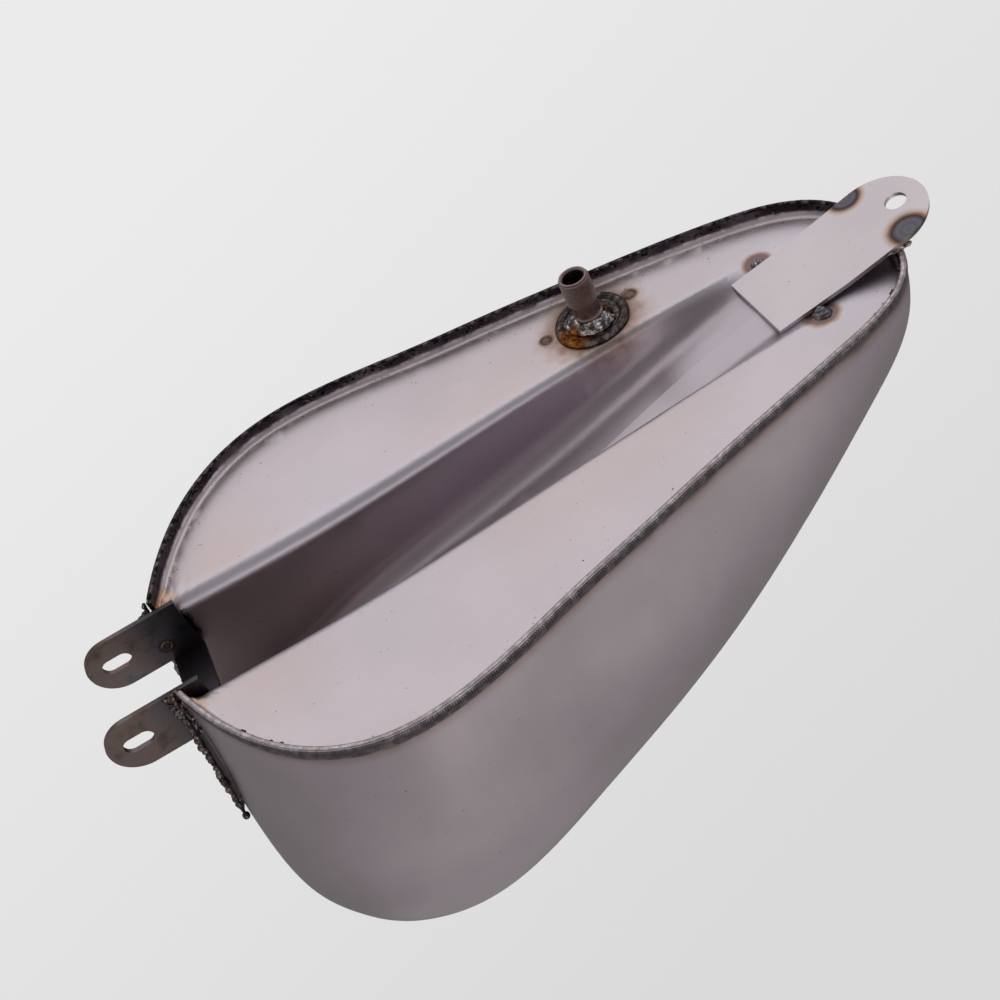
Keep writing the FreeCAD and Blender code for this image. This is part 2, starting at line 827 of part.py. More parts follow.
def neck_weld():
    inner = size("neck_radius") + 0.18
    ring = Part.makePolygon([V(inner, 0, -4), V(inner + 4, 0, -4), V(inner + 4, 0, 0.6),
                             V(inner + 2.6, 0, 2.2), V(inner, 0, 4), V(inner, 0, -4)])
    ring = Part.Face(ring).revolve(V(0, 0, 0), V(0, 0, 1), 360)
    ring.translate(V(size("neck_x"), 0, size("neck_seat")))
    for side in (left_sheet, right_sheet):
        ring = ring.cut(side)
    above = max(ring.Solids, key=lambda solid: solid.CenterOfMass.z)
    return feature("neck_weld", above)


def cap_gasket():
    corners = [
        ("gasket_inner", "0.04"),
        ("neck_flange - 1", "0.04"),
        ("neck_flange - 0.6", "gasket_gauge / 2"),
        ("neck_flange - 1", "gasket_gauge"),
        ("gasket_inner", "gasket_gauge"),
    ]
    return turned("cap_gasket", corners, CAP_AT)


def cap_plug():
    crest = "neck_bore - plug_clearance"
    root = "neck_bore - plug_clearance - 1.3"
    corners = [
        ("vent_hole", "-1.5"),
        ("vent_bore", "-1.5"),
        ("vent_bore", "-8"),
        ("vent_boss", "-8"),
        ("vent_boss", "0"),
        ("neck_bore - plug_clearance - plug_wall - 1.3", "0"),
        ("neck_bore - plug_clearance - plug_wall - 1.3", "-1 * plug_depth"),
        (root, "-1 * plug_depth"),
    ]
    corners += thread_teeth(-11.5, crest, root, 3.0, 3)
    corners += [(crest, "-2"), (crest, "gasket_gauge"), ("vent_hole", "gasket_gauge")]
    body = turned("cap_plug", corners, CAP_AT)
    return body


def cap_cover():
    corners = [
        ("vent_hole", "gasket_gauge + 0.03"),
        ("neck_flange + 0.7", "gasket_gauge + 0.03"),
        ("neck_flange + 0.7", "-1 * cap_skirt"),
        ("cap_radius - 0.6", "-1 * cap_skirt"),
        ("cap_radius", "0.6 - cap_skirt"),
        ("cap_radius", "cap_thickness - 3"),
        ("cap_radius - 1.2", "cap_thickness - 0.8"),
        ("cap_radius - 3.6", "cap_thickness + 0.6"),
        ("cap_radius - 12", "cap_thickness + 2"),
        ("cap_radius - 22", "cap_thickness + 2.5"),
        ("vent_hole", "cap_thickness + 2.6"),
    ]
    body = turned("cap_cover", corners, CAP_AT)
    sketch = body.newObject("Sketcher::SketchObject", "scallop_circle")
    origin_plane = [f for f in body.Origin.OriginFeatures if f.Role == "XY_Plane"][0]
    sketch.AttachmentSupport = [(origin_plane, "")]
    sketch.MapMode = "FlatFace"
    reach = size("cap_radius") + 2.6
    sketch.addGeometry(Part.Circle(V(reach, 0, 0), V(0, 0, 1), 4.0), False)
    sketch.addConstraint(Sketcher.Constraint("PointOnObject", 0, 3, -1))
    index = sketch.addConstraint(Sketcher.Constraint("DistanceX", -1, 1, 0, 3, reach))
    sketch.setExpression("Constraints[%d]" % index, bound("cap_radius + 2.6"))
    sketch.addConstraint(Sketcher.Constraint("Radius", 0, 4.0))
    pocket = body.newObject("PartDesign::Pocket", "scallop")
    pocket.Profile = sketch
    pocket.Type = "ThroughAll"
    pocket.Midplane = True
    doc.recompute()
    pattern = body.newObject("PartDesign::PolarPattern", "scallops")
    pattern.Originals = [pocket]
    pattern.Axis = (sketch, ["N_Axis"])
    pattern.Angle = 360
    pattern.setExpression("Occurrences", bound("cap_scallops"))
    body.Tip = pattern
    doc.recompute()
    return body


def around_cap(shape, count):
    """Copies of a shape, evenly spaced round the cap's axis, then moved to the cap."""
    copies = []
    for turn in range(count):
        copy = shape.copy()
        copy.rotate(V(0, 0, 0), V(0, 0, 1), 360 * turn / count + 30)
        copies.append(copy)
    group = Part.makeCompound(copies)
    group.translate(CAP_ORIGIN)
    return group


CAP_ORIGIN = V(size("neck_x"), 0, size("neck_seat") + size("neck_rise"))


def cap_screws():
    reach = size("screw_circle")
    screw = Part.makeCylinder(1.5, 9.0, V(reach, 0, -0.5))
    head = Part.makeCylinder(2.8, 1.9, V(reach, 0, -1.95))
    head = head.makeFillet(0.5, [edge for edge in head.Edges if middle(edge).z < -1.9])
    slot = Part.makeBox(6, 0.8, 0.9, V(reach - 3, -0.4, -1.96))
    return feature("cap_screws", around_cap(screw.fuse(head).cut(slot).removeSplitter(), 3))


def vent_valve():
    corners = [
        ("0", "-6.9"),
        ("1", "-6.9"),
        ("1", "-3.3"),
        ("vent_bore - 0.9", "-3.1"),
        ("vent_bore - 0.9", "-2.1"),
        ("vent_bore - 1.8", "-1.55"),
        ("0", "-1.55"),
    ]
    return turned("vent_valve", corners, CAP_AT)


def vent_spring():
    helix = Part.makeHelix(0.95, 2.6, 1.9)
    wire = Part.Wire(Part.makeCircle(0.22, V(1.9, 0, 0), V(0, 1, 0.08)))
    coil = Part.Wire(helix.Edges).makePipeShell([wire], True, True)
    coil.translate(CAP_ORIGIN + V(0, 0, -6.15))
    return feature("vent_spring", coil)


def vent_retainer():
    corners = [
        ("1.3", "-7.95"),
        ("vent_bore - 0.03", "-7.95"),
        ("vent_bore - 0.03", "-7.45"),
        ("1.3", "-7.45"),
    ]
    return turned("vent_retainer", corners, CAP_AT)


# ---------------------------------------------------------------- weld beads


def mouth_weld_bead():
    """Bead in the corner between the shell's front end and the tunnel's lip."""
    lean = size("mouth_lean")
    radius = 2.1
    side = MOUTH_Y + radius + 0.1
    shoulder = size("tunnel_roof_y") + GAUGE + radius + 0.1
    top = MOUTH_TOP + radius + 0.1
    half = [(side, 13), (side - 1.3, 35), (shoulder + 1.1, 66), (shoulder + 0.2, 97)]
    half += [(shoulder - 4.6, top - 6.5)]
    half += [(shoulder - 13, top - 1.2), (shoulder - 21, top)]
    full = half + [(-y, z) for y, z in reversed(half)]
    stops = [V(lean * z + radius + 0.3, y, z) for y, z in full]
    bead = Part.makeSphere(radius, stops[0])
    for a, b in zip(stops, stops[1:]):
        stretch = Part.makeCylinder(radius, a.distanceToPoint(b), a, b - a)
        bead = bead.fuse([stretch, Part.makeSphere(radius, b)])
    return feature("mouth_weld_bead", bead)


def bracket_welds():
    """Fillets between the bracket's rear edges and the tunnel walls."""
    beads = []
    for side in (-1, 1):
        beside = side * (size("bracket_half_width") - 0.6)
        foot = V(size("bracket_rear_x") - 0.4, beside, size("tab_low") + 12)
        bead = Part.makeCylinder(2.4, 20, foot)
        bead = bead.cut(pan_sheet).cut(local(bracket))
        beads.append(max(bead.Solids, key=lambda solid: solid.Volume))
    return feature("bracket_welds", Part.makeCompound(beads))


def blob(centre, radii):
    """Lens-shaped weld nugget."""
    ball = Part.makeSphere(1.0)
    stretch = FreeCAD.Matrix()
    stretch.scale(V(*radii))
    ball = ball.transformGeometry(stretch)
    ball.translate(centre)
    return ball


def tongue_welds():
    """Puddle tacks beside the tongue's front part and under the rear rim."""
    under_rim = Part.makeBox(40, 80, 20, V(-465, -40, -23.3))
    nuggets = []
    for side in (-1, 1):
        front = blob(V(-389.5, side * 30, 2.4), (6.5, 4.6, 3.2))
        for metal in (pan_sheet, local(tongue)):
            front = front.cut(metal)
        rear = blob(V(-444, side * 28, -4.6), (5, 3, 2.6)).common(under_rim).cut(local(tongue))
        for nugget in (front, rear):
            nuggets.append(max(nugget.Solids, key=lambda solid: solid.Volume))
    return feature("tongue_welds", Part.makeCompound(nuggets))


for make in (filler_neck, neck_weld, cap_gasket, cap_plug, cap_cover, cap_screws):
    make()
for make in (vent_valve, vent_spring, vent_retainer, mouth_weld_bead, bracket_welds, tongue_welds):
    make()

# ---------------------------------------------------------------- screw holes, check and export


def drill_for_screws(obj):
    """The three screws pass through the plug and end in the cover."""
    hole = around_cap(Part.makeCylinder(1.6, 9.2, V(size("screw_circle"), 0, -0.3)), 3)
    drilled = local(obj).cut(hole)
    parts.remove(obj)
    label = obj.Label
    obj.Label = label + "_blank"
    return feature(label, drilled)


for blank in [obj for obj in parts if obj.Label in ("cap_plug", "cap_cover")]:
    drill_for_screws(blank)

doc.recompute()
for obj in doc.Objects:
    if "Invalid" in obj.State or "Error" in obj.State:
        raise RuntimeError("%s is in state %s" % (obj.Name, obj.State))
os.makedirs("parts", exist_ok=True)
for obj in parts:
    if obj.Shape.isNull() or not obj.Shape.isValid():
        raise RuntimeError("%s has a bad shape" % obj.Label)
    print(obj.Label, len(obj.Shape.Solids), round(obj.Shape.Volume, 1))
    obj.Shape.exportStep("parts/%s.step" % obj.Label)
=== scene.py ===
import math
import random

import bmesh
import bpy
from mathutils import Matrix, Vector, noise
from mathutils.bvhtree import BVHTree

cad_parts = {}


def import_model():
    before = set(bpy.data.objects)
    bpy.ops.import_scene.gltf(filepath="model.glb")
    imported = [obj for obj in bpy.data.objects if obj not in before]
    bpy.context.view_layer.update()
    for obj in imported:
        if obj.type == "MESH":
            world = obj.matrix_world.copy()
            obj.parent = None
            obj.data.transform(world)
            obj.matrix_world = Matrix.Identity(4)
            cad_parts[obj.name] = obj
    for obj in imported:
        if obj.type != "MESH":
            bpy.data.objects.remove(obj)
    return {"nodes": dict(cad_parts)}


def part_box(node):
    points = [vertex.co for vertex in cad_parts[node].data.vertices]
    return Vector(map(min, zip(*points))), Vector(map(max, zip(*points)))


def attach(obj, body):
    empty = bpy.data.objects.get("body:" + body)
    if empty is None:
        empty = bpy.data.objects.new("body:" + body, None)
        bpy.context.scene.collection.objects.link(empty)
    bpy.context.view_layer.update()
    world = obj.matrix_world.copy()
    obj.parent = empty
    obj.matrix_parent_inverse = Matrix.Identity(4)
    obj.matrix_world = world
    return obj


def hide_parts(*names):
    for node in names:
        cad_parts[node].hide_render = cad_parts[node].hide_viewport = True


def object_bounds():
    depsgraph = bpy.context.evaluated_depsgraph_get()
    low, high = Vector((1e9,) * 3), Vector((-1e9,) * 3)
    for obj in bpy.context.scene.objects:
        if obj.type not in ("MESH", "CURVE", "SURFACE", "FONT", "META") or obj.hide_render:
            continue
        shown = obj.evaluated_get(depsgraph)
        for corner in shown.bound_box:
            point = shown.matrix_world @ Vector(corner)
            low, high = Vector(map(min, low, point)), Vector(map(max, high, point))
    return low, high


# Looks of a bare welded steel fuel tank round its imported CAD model.
# Frame in metres: +X forward, +Y to the rider's left, +Z up; the tank's underside faces -Z.

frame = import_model()
CAD_LOW, CAD_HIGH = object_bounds()
NODES = frame["nodes"]
MM = 0.001

# The tank's own datum is the front end of the rim, in the rim plane.
DATUM = Vector((-32, 0, -22)) * MM
TANK_LENGTH = 450.0
RIM_POLES = [(0, 36.15), (-17.5, 86), (-65.5, 138.2), (-136.2, 137.6), (-199.6, 117.2)]
RIM_POLES += [(-242.5, 108.4), (-303.4, 91.8), (-378.1, 74.8), (-450, 52.2), (-450, 0)]
# The rim's edge in side view, in millimetres: an S-shaped swell, an even sag and a drop at the tail.
RIM_SWELL = 42.4
RIM_SAG = 6.0
RIM_DROP = 2.5


# ---------------------------------------------------------------- places on the tank


def at(x, y, z):
    """Point of the frame from millimetres in the tank's datum."""
    return DATUM + Vector((x, y, z)) * MM


def smooth(value, low, high):
    """Smooth step from 0 at low to 1 at high."""
    share = min(max((value - low) / (high - low), 0.0), 1.0)
    return share * share * (3 - 2 * share)


def rim_height(x):
    """Height of the rim's edge above the rim plane, in millimetres, at x millimetres from its front."""
    along = min(max(-x / TANK_LENGTH, 0.0), 1.0)
    bump = along * (1 - along)
    return RIM_SWELL * bump * (1 - 2 * along) - RIM_SAG * bump - RIM_DROP * along ** 8


def rim_point(s):
    """Point of the rim's left half in plan: a clamped uniform cubic B-spline through its poles."""
    spans = len(RIM_POLES) - 3
    knots = [0] * 3 + list(range(spans + 1)) + [spans] * 3
    t = min(max(s, 0.0), 1.0) * spans
    span = min(int(t), spans - 1)
    active = [Vector(RIM_POLES[span + i]) for i in range(4)]
    for level in range(1, 4):
        for i in range(3, level - 1, -1):
            first = knots[span + i]
            last = knots[span + i + 4 - level]
            share = (t - first) / (last - first)
            active[i] = active[i - 1] * (1 - share) + active[i] * share
    return active[3]


def rim_table(count):
    """Evenly spaced stations round the left half of the rim: (place, outward normal) in millimetres."""
    samples = 4000
    middle = Vector((-190, 0))
    fine = [rim_point(i / samples) for i in range(samples + 1)]
    lengths = [0.0]
    for a, b in zip(fine, fine[1:]):
        lengths.append(lengths[-1] + (b - a).length)
    stations = []
    k = 0
    for i in range(count + 1):
        wanted = lengths[-1] * i / count
        while k < len(fine) - 2 and lengths[k + 1] < wanted:
            k += 1
        share = (wanted - lengths[k]) / max(lengths[k + 1] - lengths[k], 1e-9)
        place = fine[k] + (fine[k + 1] - fine[k]) * share
        ahead = fine[min(k + 6, samples)] - fine[max(k - 5, 0)]
        normal = Vector((-ahead.y, ahead.x)).normalized()
        if normal.dot(place - middle) < 0:
            normal = -normal
        stations.append((place, normal))
    return stations


def tree_of(node):
    """Search tree of a CAD node's mesh, for finding points on its surface."""
    mesh = NODES[node].data
    return BVHTree.FromPolygons([v.co for v in mesh.vertices], [p.vertices for p in mesh.polygons])


SHELL = tree_of("shell_left")
PAN = tree_of("bottom_pan")


def shell_side(place, normal, height, side):
    """Point of the shell's outside at a height above the rim, mirrored to the wanted side."""
    lowest_sure = 0.3
    stand_off = 30
    level = rim_height(place.x) + max(height, lowest_sure)
    start = at(place.x + normal.x * stand_off, place.y + normal.y * stand_off, level)
    hit = SHELL.ray_cast(start, Vector((-normal.x, -normal.y, 0)), 0.06)[0]
    if hit is None:
        hit = at(place.x, place.y, level)
    return Vector((hit.x, side * hit.y, hit.z + (height - max(height, lowest_sure)) * MM))


def on_pan(x, y):
    """Point of the pan's underside and its normal, under the place (x, y) in the frame."""
    hit, normal, _index, _distance = PAN.ray_cast(Vector((x, y, -0.2)), Vector((0, 0, 1)))
    if normal.z > 0:
        normal = -normal
    return hit, normal


# ---------------------------------------------------------------- node materials


class Recipe:
    """A procedural material under construction; inputs are numbers, colours or links."""

    def __init__(self, name, metallic=1.0):
        self.material = bpy.data.materials.new(name)
        self.material.use_nodes = True
        self.tree = self.material.node_tree
        self.tree.nodes.clear()
        output = self.add("ShaderNodeOutputMaterial")
        self.surface = self.add("ShaderNodeBsdfPrincipled")
        self.surface.inputs["Metallic"].default_value = metallic
        self.tree.links.new(self.surface.outputs["BSDF"], output.inputs["Surface"])
        self.place = self.add("ShaderNodeTexCoord").outputs["Object"]

    def add(self, kind, **settings):
        node = self.tree.nodes.new(kind)
        for key, value in settings.items():
            setattr(node, key, value)
        return node

    def feed(self, socket, value):
        if isinstance(value, bpy.types.NodeSocket):
            self.tree.links.new(value, socket)
        elif isinstance(value, (tuple, list)) and len(value) == 3 and socket.type == "RGBA":
            socket.default_value = (*value, 1.0)
        else:
            socket.default_value = value

    def math(self, operation, a, b=0.0, clamp=False):
        node = self.add("ShaderNodeMath", operation=operation, use_clamp=clamp)
        self.feed(node.inputs[0], a)
        self.feed(node.inputs[1], b)
        return node.outputs[0]

    def step(self, value, low, high, start=0.0, end=1.0):
        """Smooth step from start at low to end at high."""
        node = self.add("ShaderNodeMapRange", interpolation_type="SMOOTHSTEP")
        names = ("Value", "From Min", "From Max", "To Min", "To Max")
        for key, given in zip(names, (value, low, high, start, end)):
            self.feed(node.inputs[key], given)
        return node.outputs[0]

    def ramp(self, value, stops):
        """Colour that runs through (position, colour) stops."""
        node = self.add("ShaderNodeValToRGB")
        self.feed(node.inputs[0], value)
        elements = node.color_ramp.elements
        while len(elements) < len(stops):
            elements.new(0.5)
        for element, (position, colour) in zip(elements, stops):
            element.position = position
            element.color = (*colour, 1.0)
        return node.outputs[0]

    def mix(self, share, a, b, blend="MIX"):
        """Colour a taken to colour b by a share."""
        node = self.add("ShaderNodeMix", data_type="RGBA", blend_type=blend)
        self.feed(node.inputs[0], share)
        self.feed(node.inputs[6], a)
        self.feed(node.inputs[7], b)
        return node.outputs[2]

    def noise(self, scale, detail=4.0, roughness=0.55, stretch=(1, 1, 1)):
        mapping = self.add("ShaderNodeMapping")
        self.feed(mapping.inputs["Vector"], self.place)
        mapping.inputs["Scale"].default_value = stretch
        node = self.add("ShaderNodeTexNoise")
        self.feed(node.inputs["Vector"], mapping.outputs[0])
        node.inputs["Scale"].default_value = scale
        node.inputs["Detail"].default_value = detail
        node.inputs["Roughness"].default_value = roughness
        return node.outputs[0]

    def times(self, colour, share, tint):
        """Colour multiplied by a tint, by a share."""
        return self.mix(share, colour, self.mix(1.0, colour, tint, "MULTIPLY"))

    def distance(self, point):
        node = self.add("ShaderNodeVectorMath", operation="DISTANCE")
        self.feed(node.inputs[0], self.place)
        node.inputs[1].default_value = tuple(point)
        return node.outputs["Value"]

    def axes(self):
        node = self.add("ShaderNodeSeparateXYZ")
        self.feed(node.inputs[0], self.place)
        return node.outputs

    def nearness(self, spots, ragged=0.25):
        """Smallest distance to any spot, in radii, with a ragged edge."""
        wobble = self.math("MULTIPLY_ADD", self.noise(140.0, 3.0), ragged)
        wobble.node.inputs[2].default_value = 1.0 - ragged / 2
        nearest = None
        for point, radius in spots:
            share = self.math("DIVIDE", self.distance(point), radius)
            nearest = share if nearest is None else self.math("MINIMUM", nearest, share)
        return self.math("MULTIPLY", nearest, wobble)

    def bump(self, layers):
        """Chained bumps from (height, strength, depth in metres)."""
        normal = None
        for height, strength, depth in layers:
            node = self.add("ShaderNodeBump")
            node.inputs["Strength"].default_value = strength
            node.inputs["Distance"].default_value = depth
            self.feed(node.inputs["Height"], height)
            if normal is not None:
                self.feed(node.inputs["Normal"], normal)
            normal = node.outputs[0]
        self.feed(self.surface.inputs["Normal"], normal)

    def finish(self, colour, roughness):
        self.feed(self.surface.inputs["Base Color"], colour)
        self.feed(self.surface.inputs["Roughness"], roughness)
        return self.material


# Spot welds of the inner doubler, in plan; a mark on the left tab's inner face; the filler neck's foot.
SPOT_WELDS = {"front": (-0.2988, 0.0660), "rear": (-0.3532, 0.0627)}
TAB_MARK = Vector((-0.0274, 0.0298, 0.0069))
NECK = at(-95, 0, 213)
# Forward lean of the tunnel's mouth per unit of height.
MOUTH_SLANT = 0.13
# Bright tacks beside the tongue: place and reach of the heat tint round each.
TACKS = {
    "left": (Vector((-0.4203, 0.0295, -0.0185)), 0.0105),
    "right": (Vector((-0.4228, -0.0323, -0.0190)), 0.0120),
}
# Tints round a spot, from its middle out to one radius; HEAT runs blue-grey, black, brown, straw, clean.
HEAT = [(0.0, (0.17, 0.18, 0.20)), (0.18, (0.24, 0.25, 0.28)), (0.26, (0.18, 0.19, 0.21))]
HEAT += [(0.44, (0.23, 0.24, 0.27)), (0.62, (0.09, 0.07, 0.075)), (0.72, (0.40, 0.26, 0.18))]
HEAT += [(0.84, (0.86, 0.72, 0.58)), (1.0, (1, 1, 1))]
PUDDLE = [(0.0, (0.5, 0.48, 0.5)), (0.45, (0.32, 0.27, 0.28)), (0.7, (0.42, 0.28, 0.2))]
PUDDLE += [(0.88, (0.88, 0.74, 0.6)), (1.0, (1, 1, 1))]
BOSS_STAIN = [(0.0, (0.08, 0.04, 0.02)), (0.50, (0.20, 0.13, 0.10)), (0.64, (0.52, 0.42, 0.34))]
BOSS_STAIN += [(0.8, (0.86, 0.79, 0.72)), (1.0, (1, 1, 1))]
SPOT_TINT = [(0.0, (0.42, 0.38, 0.33)), (0.45, (0.36, 0.31, 0.26)), (0.62, (0.2, 0.14, 0.1))]
SPOT_TINT += [(0.8, (0.7, 0.62, 0.55)), (1.0, (1, 1, 1))]
CORNER_TINT = [(0.0, (0.9, 0.45, 0.28)), (0.35, (1.0, 0.72, 0.5)), (0.7, (0.95, 0.8, 0.62)), (1.0, (1, 1, 1))]
TAB_RINGS = [(0.0, (1.2, 0.9, 0.8)), (0.16, (0.5, 0.3, 0.25)), (0.24, (1.5, 1.2, 1.0))]
TAB_RINGS += [(0.34, (0.5, 0.32, 0.27)), (0.48, (1.0, 1.0, 1.1)), (1.0, (1, 1, 1))]
# Tints and rust along a noise value.
WELD_TINTS = [(0.35, (0.75, 0.6, 0.5)), (0.5, (1, 1, 1)), (0.65, (0.7, 0.78, 0.95))]
RUST = [(0.36, (0.06, 0.03, 0.02)), (0.50, (0.22, 0.08, 0.03)), (0.64, (0.60, 0.26, 0.05))]


def sheet_steel(recipe, tone, grain):
    """Bare rolled sheet: cloudy tone, rolling grain, fine pits. Gives colour and roughness."""
    clouds = recipe.noise(9.0, 5.0, 0.5)
    streaks = recipe.noise(260.0, 3.0, 0.6, grain)
    fine = recipe.noise(1500.0, 2.0, 0.5)
    dark = tuple(c * 0.92 for c in tone)
    light = tuple(min(c * 1.05, 1.0) for c in tone)
    colour = recipe.mix(recipe.step(clouds, 0.35, 0.68), dark, light)
    pits = recipe.step(recipe.noise(420.0, 2.0, 0.5), 0.735, 0.775)
    colour = recipe.mix(recipe.math("MULTIPLY", pits, 0.6), colour, (0.07, 0.055, 0.05))
    roughness = recipe.math("ADD", recipe.step(clouds, 0.3, 0.7, 0.30, 0.37),
                            recipe.math("MULTIPLY", streaks, 0.08))
    recipe.bump([(streaks, 0.10, 0.00006), (fine, 0.12, 0.00003), (pits, 0.35, -0.0001)])
    return colour, roughness


def height_over_rim(recipe):
    """Height above the local rim edge, in millimetres, as a link: rim_height in nodes."""
    x, _y, z = recipe.axes()
    along = recipe.math("MULTIPLY", recipe.math("SUBTRACT", DATUM.x, x), 1000 / TANK_LENGTH, True)
    bump = recipe.math("MULTIPLY", along, recipe.math("SUBTRACT", 1.0, along))
    slope = recipe.math("MULTIPLY", along, 2 * RIM_SWELL)
    wave = recipe.math("MULTIPLY", bump, recipe.math("SUBTRACT", RIM_SWELL - RIM_SAG, slope))
    drop = recipe.math("MULTIPLY", recipe.math("POWER", along, 8.0), -RIM_DROP)
    height = recipe.math("MULTIPLY", recipe.math("SUBTRACT", z, DATUM.z), 1000.0)
    return recipe.math("SUBTRACT", height, recipe.math("ADD", wave, drop))


def shell_material():
    """Side sheet: burnt and straw-tinted along the rim, dressed and tinted along the top seam."""
    recipe = Recipe("side_steel")
    colour, roughness = sheet_steel(recipe, (0.52, 0.455, 0.485), (1.0, 1.0, 0.12))
    x, y, _z = recipe.axes()
    over = height_over_rim(recipe)
    ragged = recipe.math("MULTIPLY", recipe.noise(60.0, 4.0), 5.0)
    low = recipe.math("ADD", over, ragged)
    colour = recipe.times(colour, recipe.step(low, 9.0, 17.0, 0.6, 0.0), (0.66, 0.50, 0.40))
    colour = recipe.mix(recipe.step(low, 7.0, 11.5, 0.75, 0.0), colour, (0.075, 0.06, 0.062))
    tail = recipe.math("MULTIPLY", recipe.step(x, DATUM.x - 0.425, DATUM.x - 0.455, 0.0, 1.0),
                       recipe.step(over, 30.0, 2.0))
    colour = recipe.mix(tail, colour, (0.07, 0.055, 0.055))
    wander = recipe.math("MULTIPLY", recipe.noise(90.0, 3.0), 0.004)
    seam = recipe.math("ADD", recipe.math("ABSOLUTE", y), wander)
    high = recipe.step(over, 30.0, 60.0)
    dressed = recipe.math("MULTIPLY", recipe.step(seam, 0.0075, 0.0105, 1.0, 0.0), high)
    tinted = recipe.math("MULTIPLY", recipe.step(seam, 0.012, 0.018, 0.5, 0.0), high)
    colour = recipe.times(colour, tinted, (0.75, 0.58, 0.45))
    colour = recipe.mix(dressed, colour, (0.66, 0.63, 0.62))
    neck = recipe.nearness([(NECK, 0.047)])
    colour = recipe.mix(1.0, colour, recipe.ramp(neck, HEAT[2:]), "MULTIPLY")
    roughness = recipe.math("SUBTRACT", roughness, recipe.math("MULTIPLY", dressed, 0.06))
    return recipe.finish(colour, roughness)


def pan_stains(recipe, colour):
    """Heat and rust round the boss, the spot welds, the tongue's tacks and the tunnel's front corners."""
    boss_low, boss_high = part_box("spigot_boss")
    boss = (boss_low + boss_high) / 2
    spots = [(Vector((x, y, boss.z)), 0.0065) for x, y in SPOT_WELDS.values()]
    corners = [(at(2, side * 38, 9), 0.020) for side in (-1, 1)]
    stains = [(recipe.nearness([(boss, 0.038)], 0.45), BOSS_STAIN), (recipe.nearness(spots, 0.1), SPOT_TINT)]
    stains += [(recipe.nearness(TACKS.values()), PUDDLE), (recipe.nearness(corners, 0.5), CORNER_TINT)]
    for near, tints in stains:
        colour = recipe.mix(1.0, colour, recipe.ramp(near, tints), "MULTIPLY")
    return colour


def tunnel_stains_and_shade(recipe, colour, over):
    """Inside of the tunnel: darker all over and darker still on the spigot's side as painted shade, brown
    towards the mouth, black at the lip.
    """
    x, y, z = recipe.axes()
    between = recipe.step(recipe.math("ABSOLUTE", y), 0.0338, 0.0352, 1.0, 0.0)
    inside = recipe.math("MULTIPLY", recipe.step(over, 9.0, 13.0), between)
    # Painted shade: the whole inside of the tunnel is darkened.
    colour = recipe.times(colour, inside, (0.84, 0.81, 0.80))
    drift = recipe.math("ADD", x, recipe.math("MULTIPLY", recipe.noise(25.0, 4.0), 0.08))
    brown = recipe.math("MULTIPLY", recipe.step(drift, DATUM.x - 0.16, DATUM.x + 0.03), inside)
    colour = recipe.times(colour, brown, (1.0, 0.97, 0.90))
    # Painted shade: the tunnel's wall and roof on the spigot's side are darkened further.
    wall_shade_edge = recipe.math("ADD", y, recipe.math("MULTIPLY", recipe.noise(22.0, 3.0), 0.012))
    far_wall_shade = recipe.math("MULTIPLY", recipe.step(wall_shade_edge, 0.012, 0.034), inside)
    colour = recipe.times(colour, far_wall_shade, (0.73, 0.69, 0.70))
    slant = recipe.math("MULTIPLY", recipe.math("SUBTRACT", z, DATUM.z), MOUTH_SLANT)
    lean = recipe.math("SUBTRACT", recipe.math("SUBTRACT", x, DATUM.x), slant)
    lip = recipe.math("MULTIPLY", recipe.step(lean, -0.0045, -0.0015), recipe.step(over, 9.0, 16.0))
    return recipe.mix(lip, colour, (0.085, 0.075, 0.08))


def pan_material():
    """Bottom pan: paler than the sides as painted light on the face turned to the light, with its flange and
    tail burnt by the seam weld.
    """
    recipe = Recipe("pan_steel")
    # Painted light: the pan's tone is set paler than the side sheets'.
    colour, roughness = sheet_steel(recipe, (0.735, 0.685, 0.755), (0.15, 1.0, 1.0))
    x, _y, _z = recipe.axes()
    over = height_over_rim(recipe)
    colour = tunnel_stains_and_shade(recipe, pan_stains(recipe, colour), over)
    ragged = recipe.math("ADD", over, recipe.math("MULTIPLY", recipe.noise(70.0, 5.0, 0.7), 4.0))
    flange = recipe.step(ragged, 6.4, 8.6, 1.0, 0.0)
    cloudy = recipe.step(recipe.noise(45.0, 4.0, 0.5), 0.40, 0.72)
    burnt = recipe.mix(cloudy, (0.045, 0.034, 0.043), (0.20, 0.165, 0.185))
    colour = recipe.mix(flange, colour, burnt)
    off_line = recipe.math("ABSOLUTE", recipe.math("SUBTRACT", over, 7.2))
    straw = recipe.math("MULTIPLY", recipe.step(off_line, 0.0, 1.4, 1.0, 0.0), 0.45)
    colour = recipe.times(colour, straw, (0.9, 0.66, 0.48))
    tail = recipe.step(x, DATUM.x - 0.425, DATUM.x - 0.45, 0.0, 0.85)
    colour = recipe.mix(tail, colour, (0.03, 0.025, 0.025))
    roughness = recipe.math("ADD", roughness, recipe.math("MULTIPLY", flange, 0.06))
    return recipe.finish(colour, roughness)


def tongue_material():
    """Tongue: sheet as pale as the pan as painted light, with two heat marks near its tip and rusty side
    edges.
    """
    recipe = Recipe("tongue_steel")
    # Painted light: tone as pale as the pan's, paler than the side sheets'.
    colour, roughness = sheet_steel(recipe, (0.72, 0.655, 0.685), (0.1, 1.0, 1.0))
    _low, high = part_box("tongue_plate")
    marks = [(Vector((-0.4775, 0.0275, -0.0300)), 0.0128), (Vector((-0.4855, -0.0235, -0.0320)), 0.0150)]
    colour = recipe.mix(1.0, colour, recipe.ramp(recipe.nearness(marks, 0.12), HEAT), "MULTIPLY")
    _x, y, _z = recipe.axes()
    side = recipe.step(recipe.math("ABSOLUTE", y), high.y - 0.0012, high.y + 0.0002, 0.0, 0.5)
    colour = recipe.mix(side, colour, (0.30, 0.21, 0.15))
    return recipe.finish(colour, roughness)


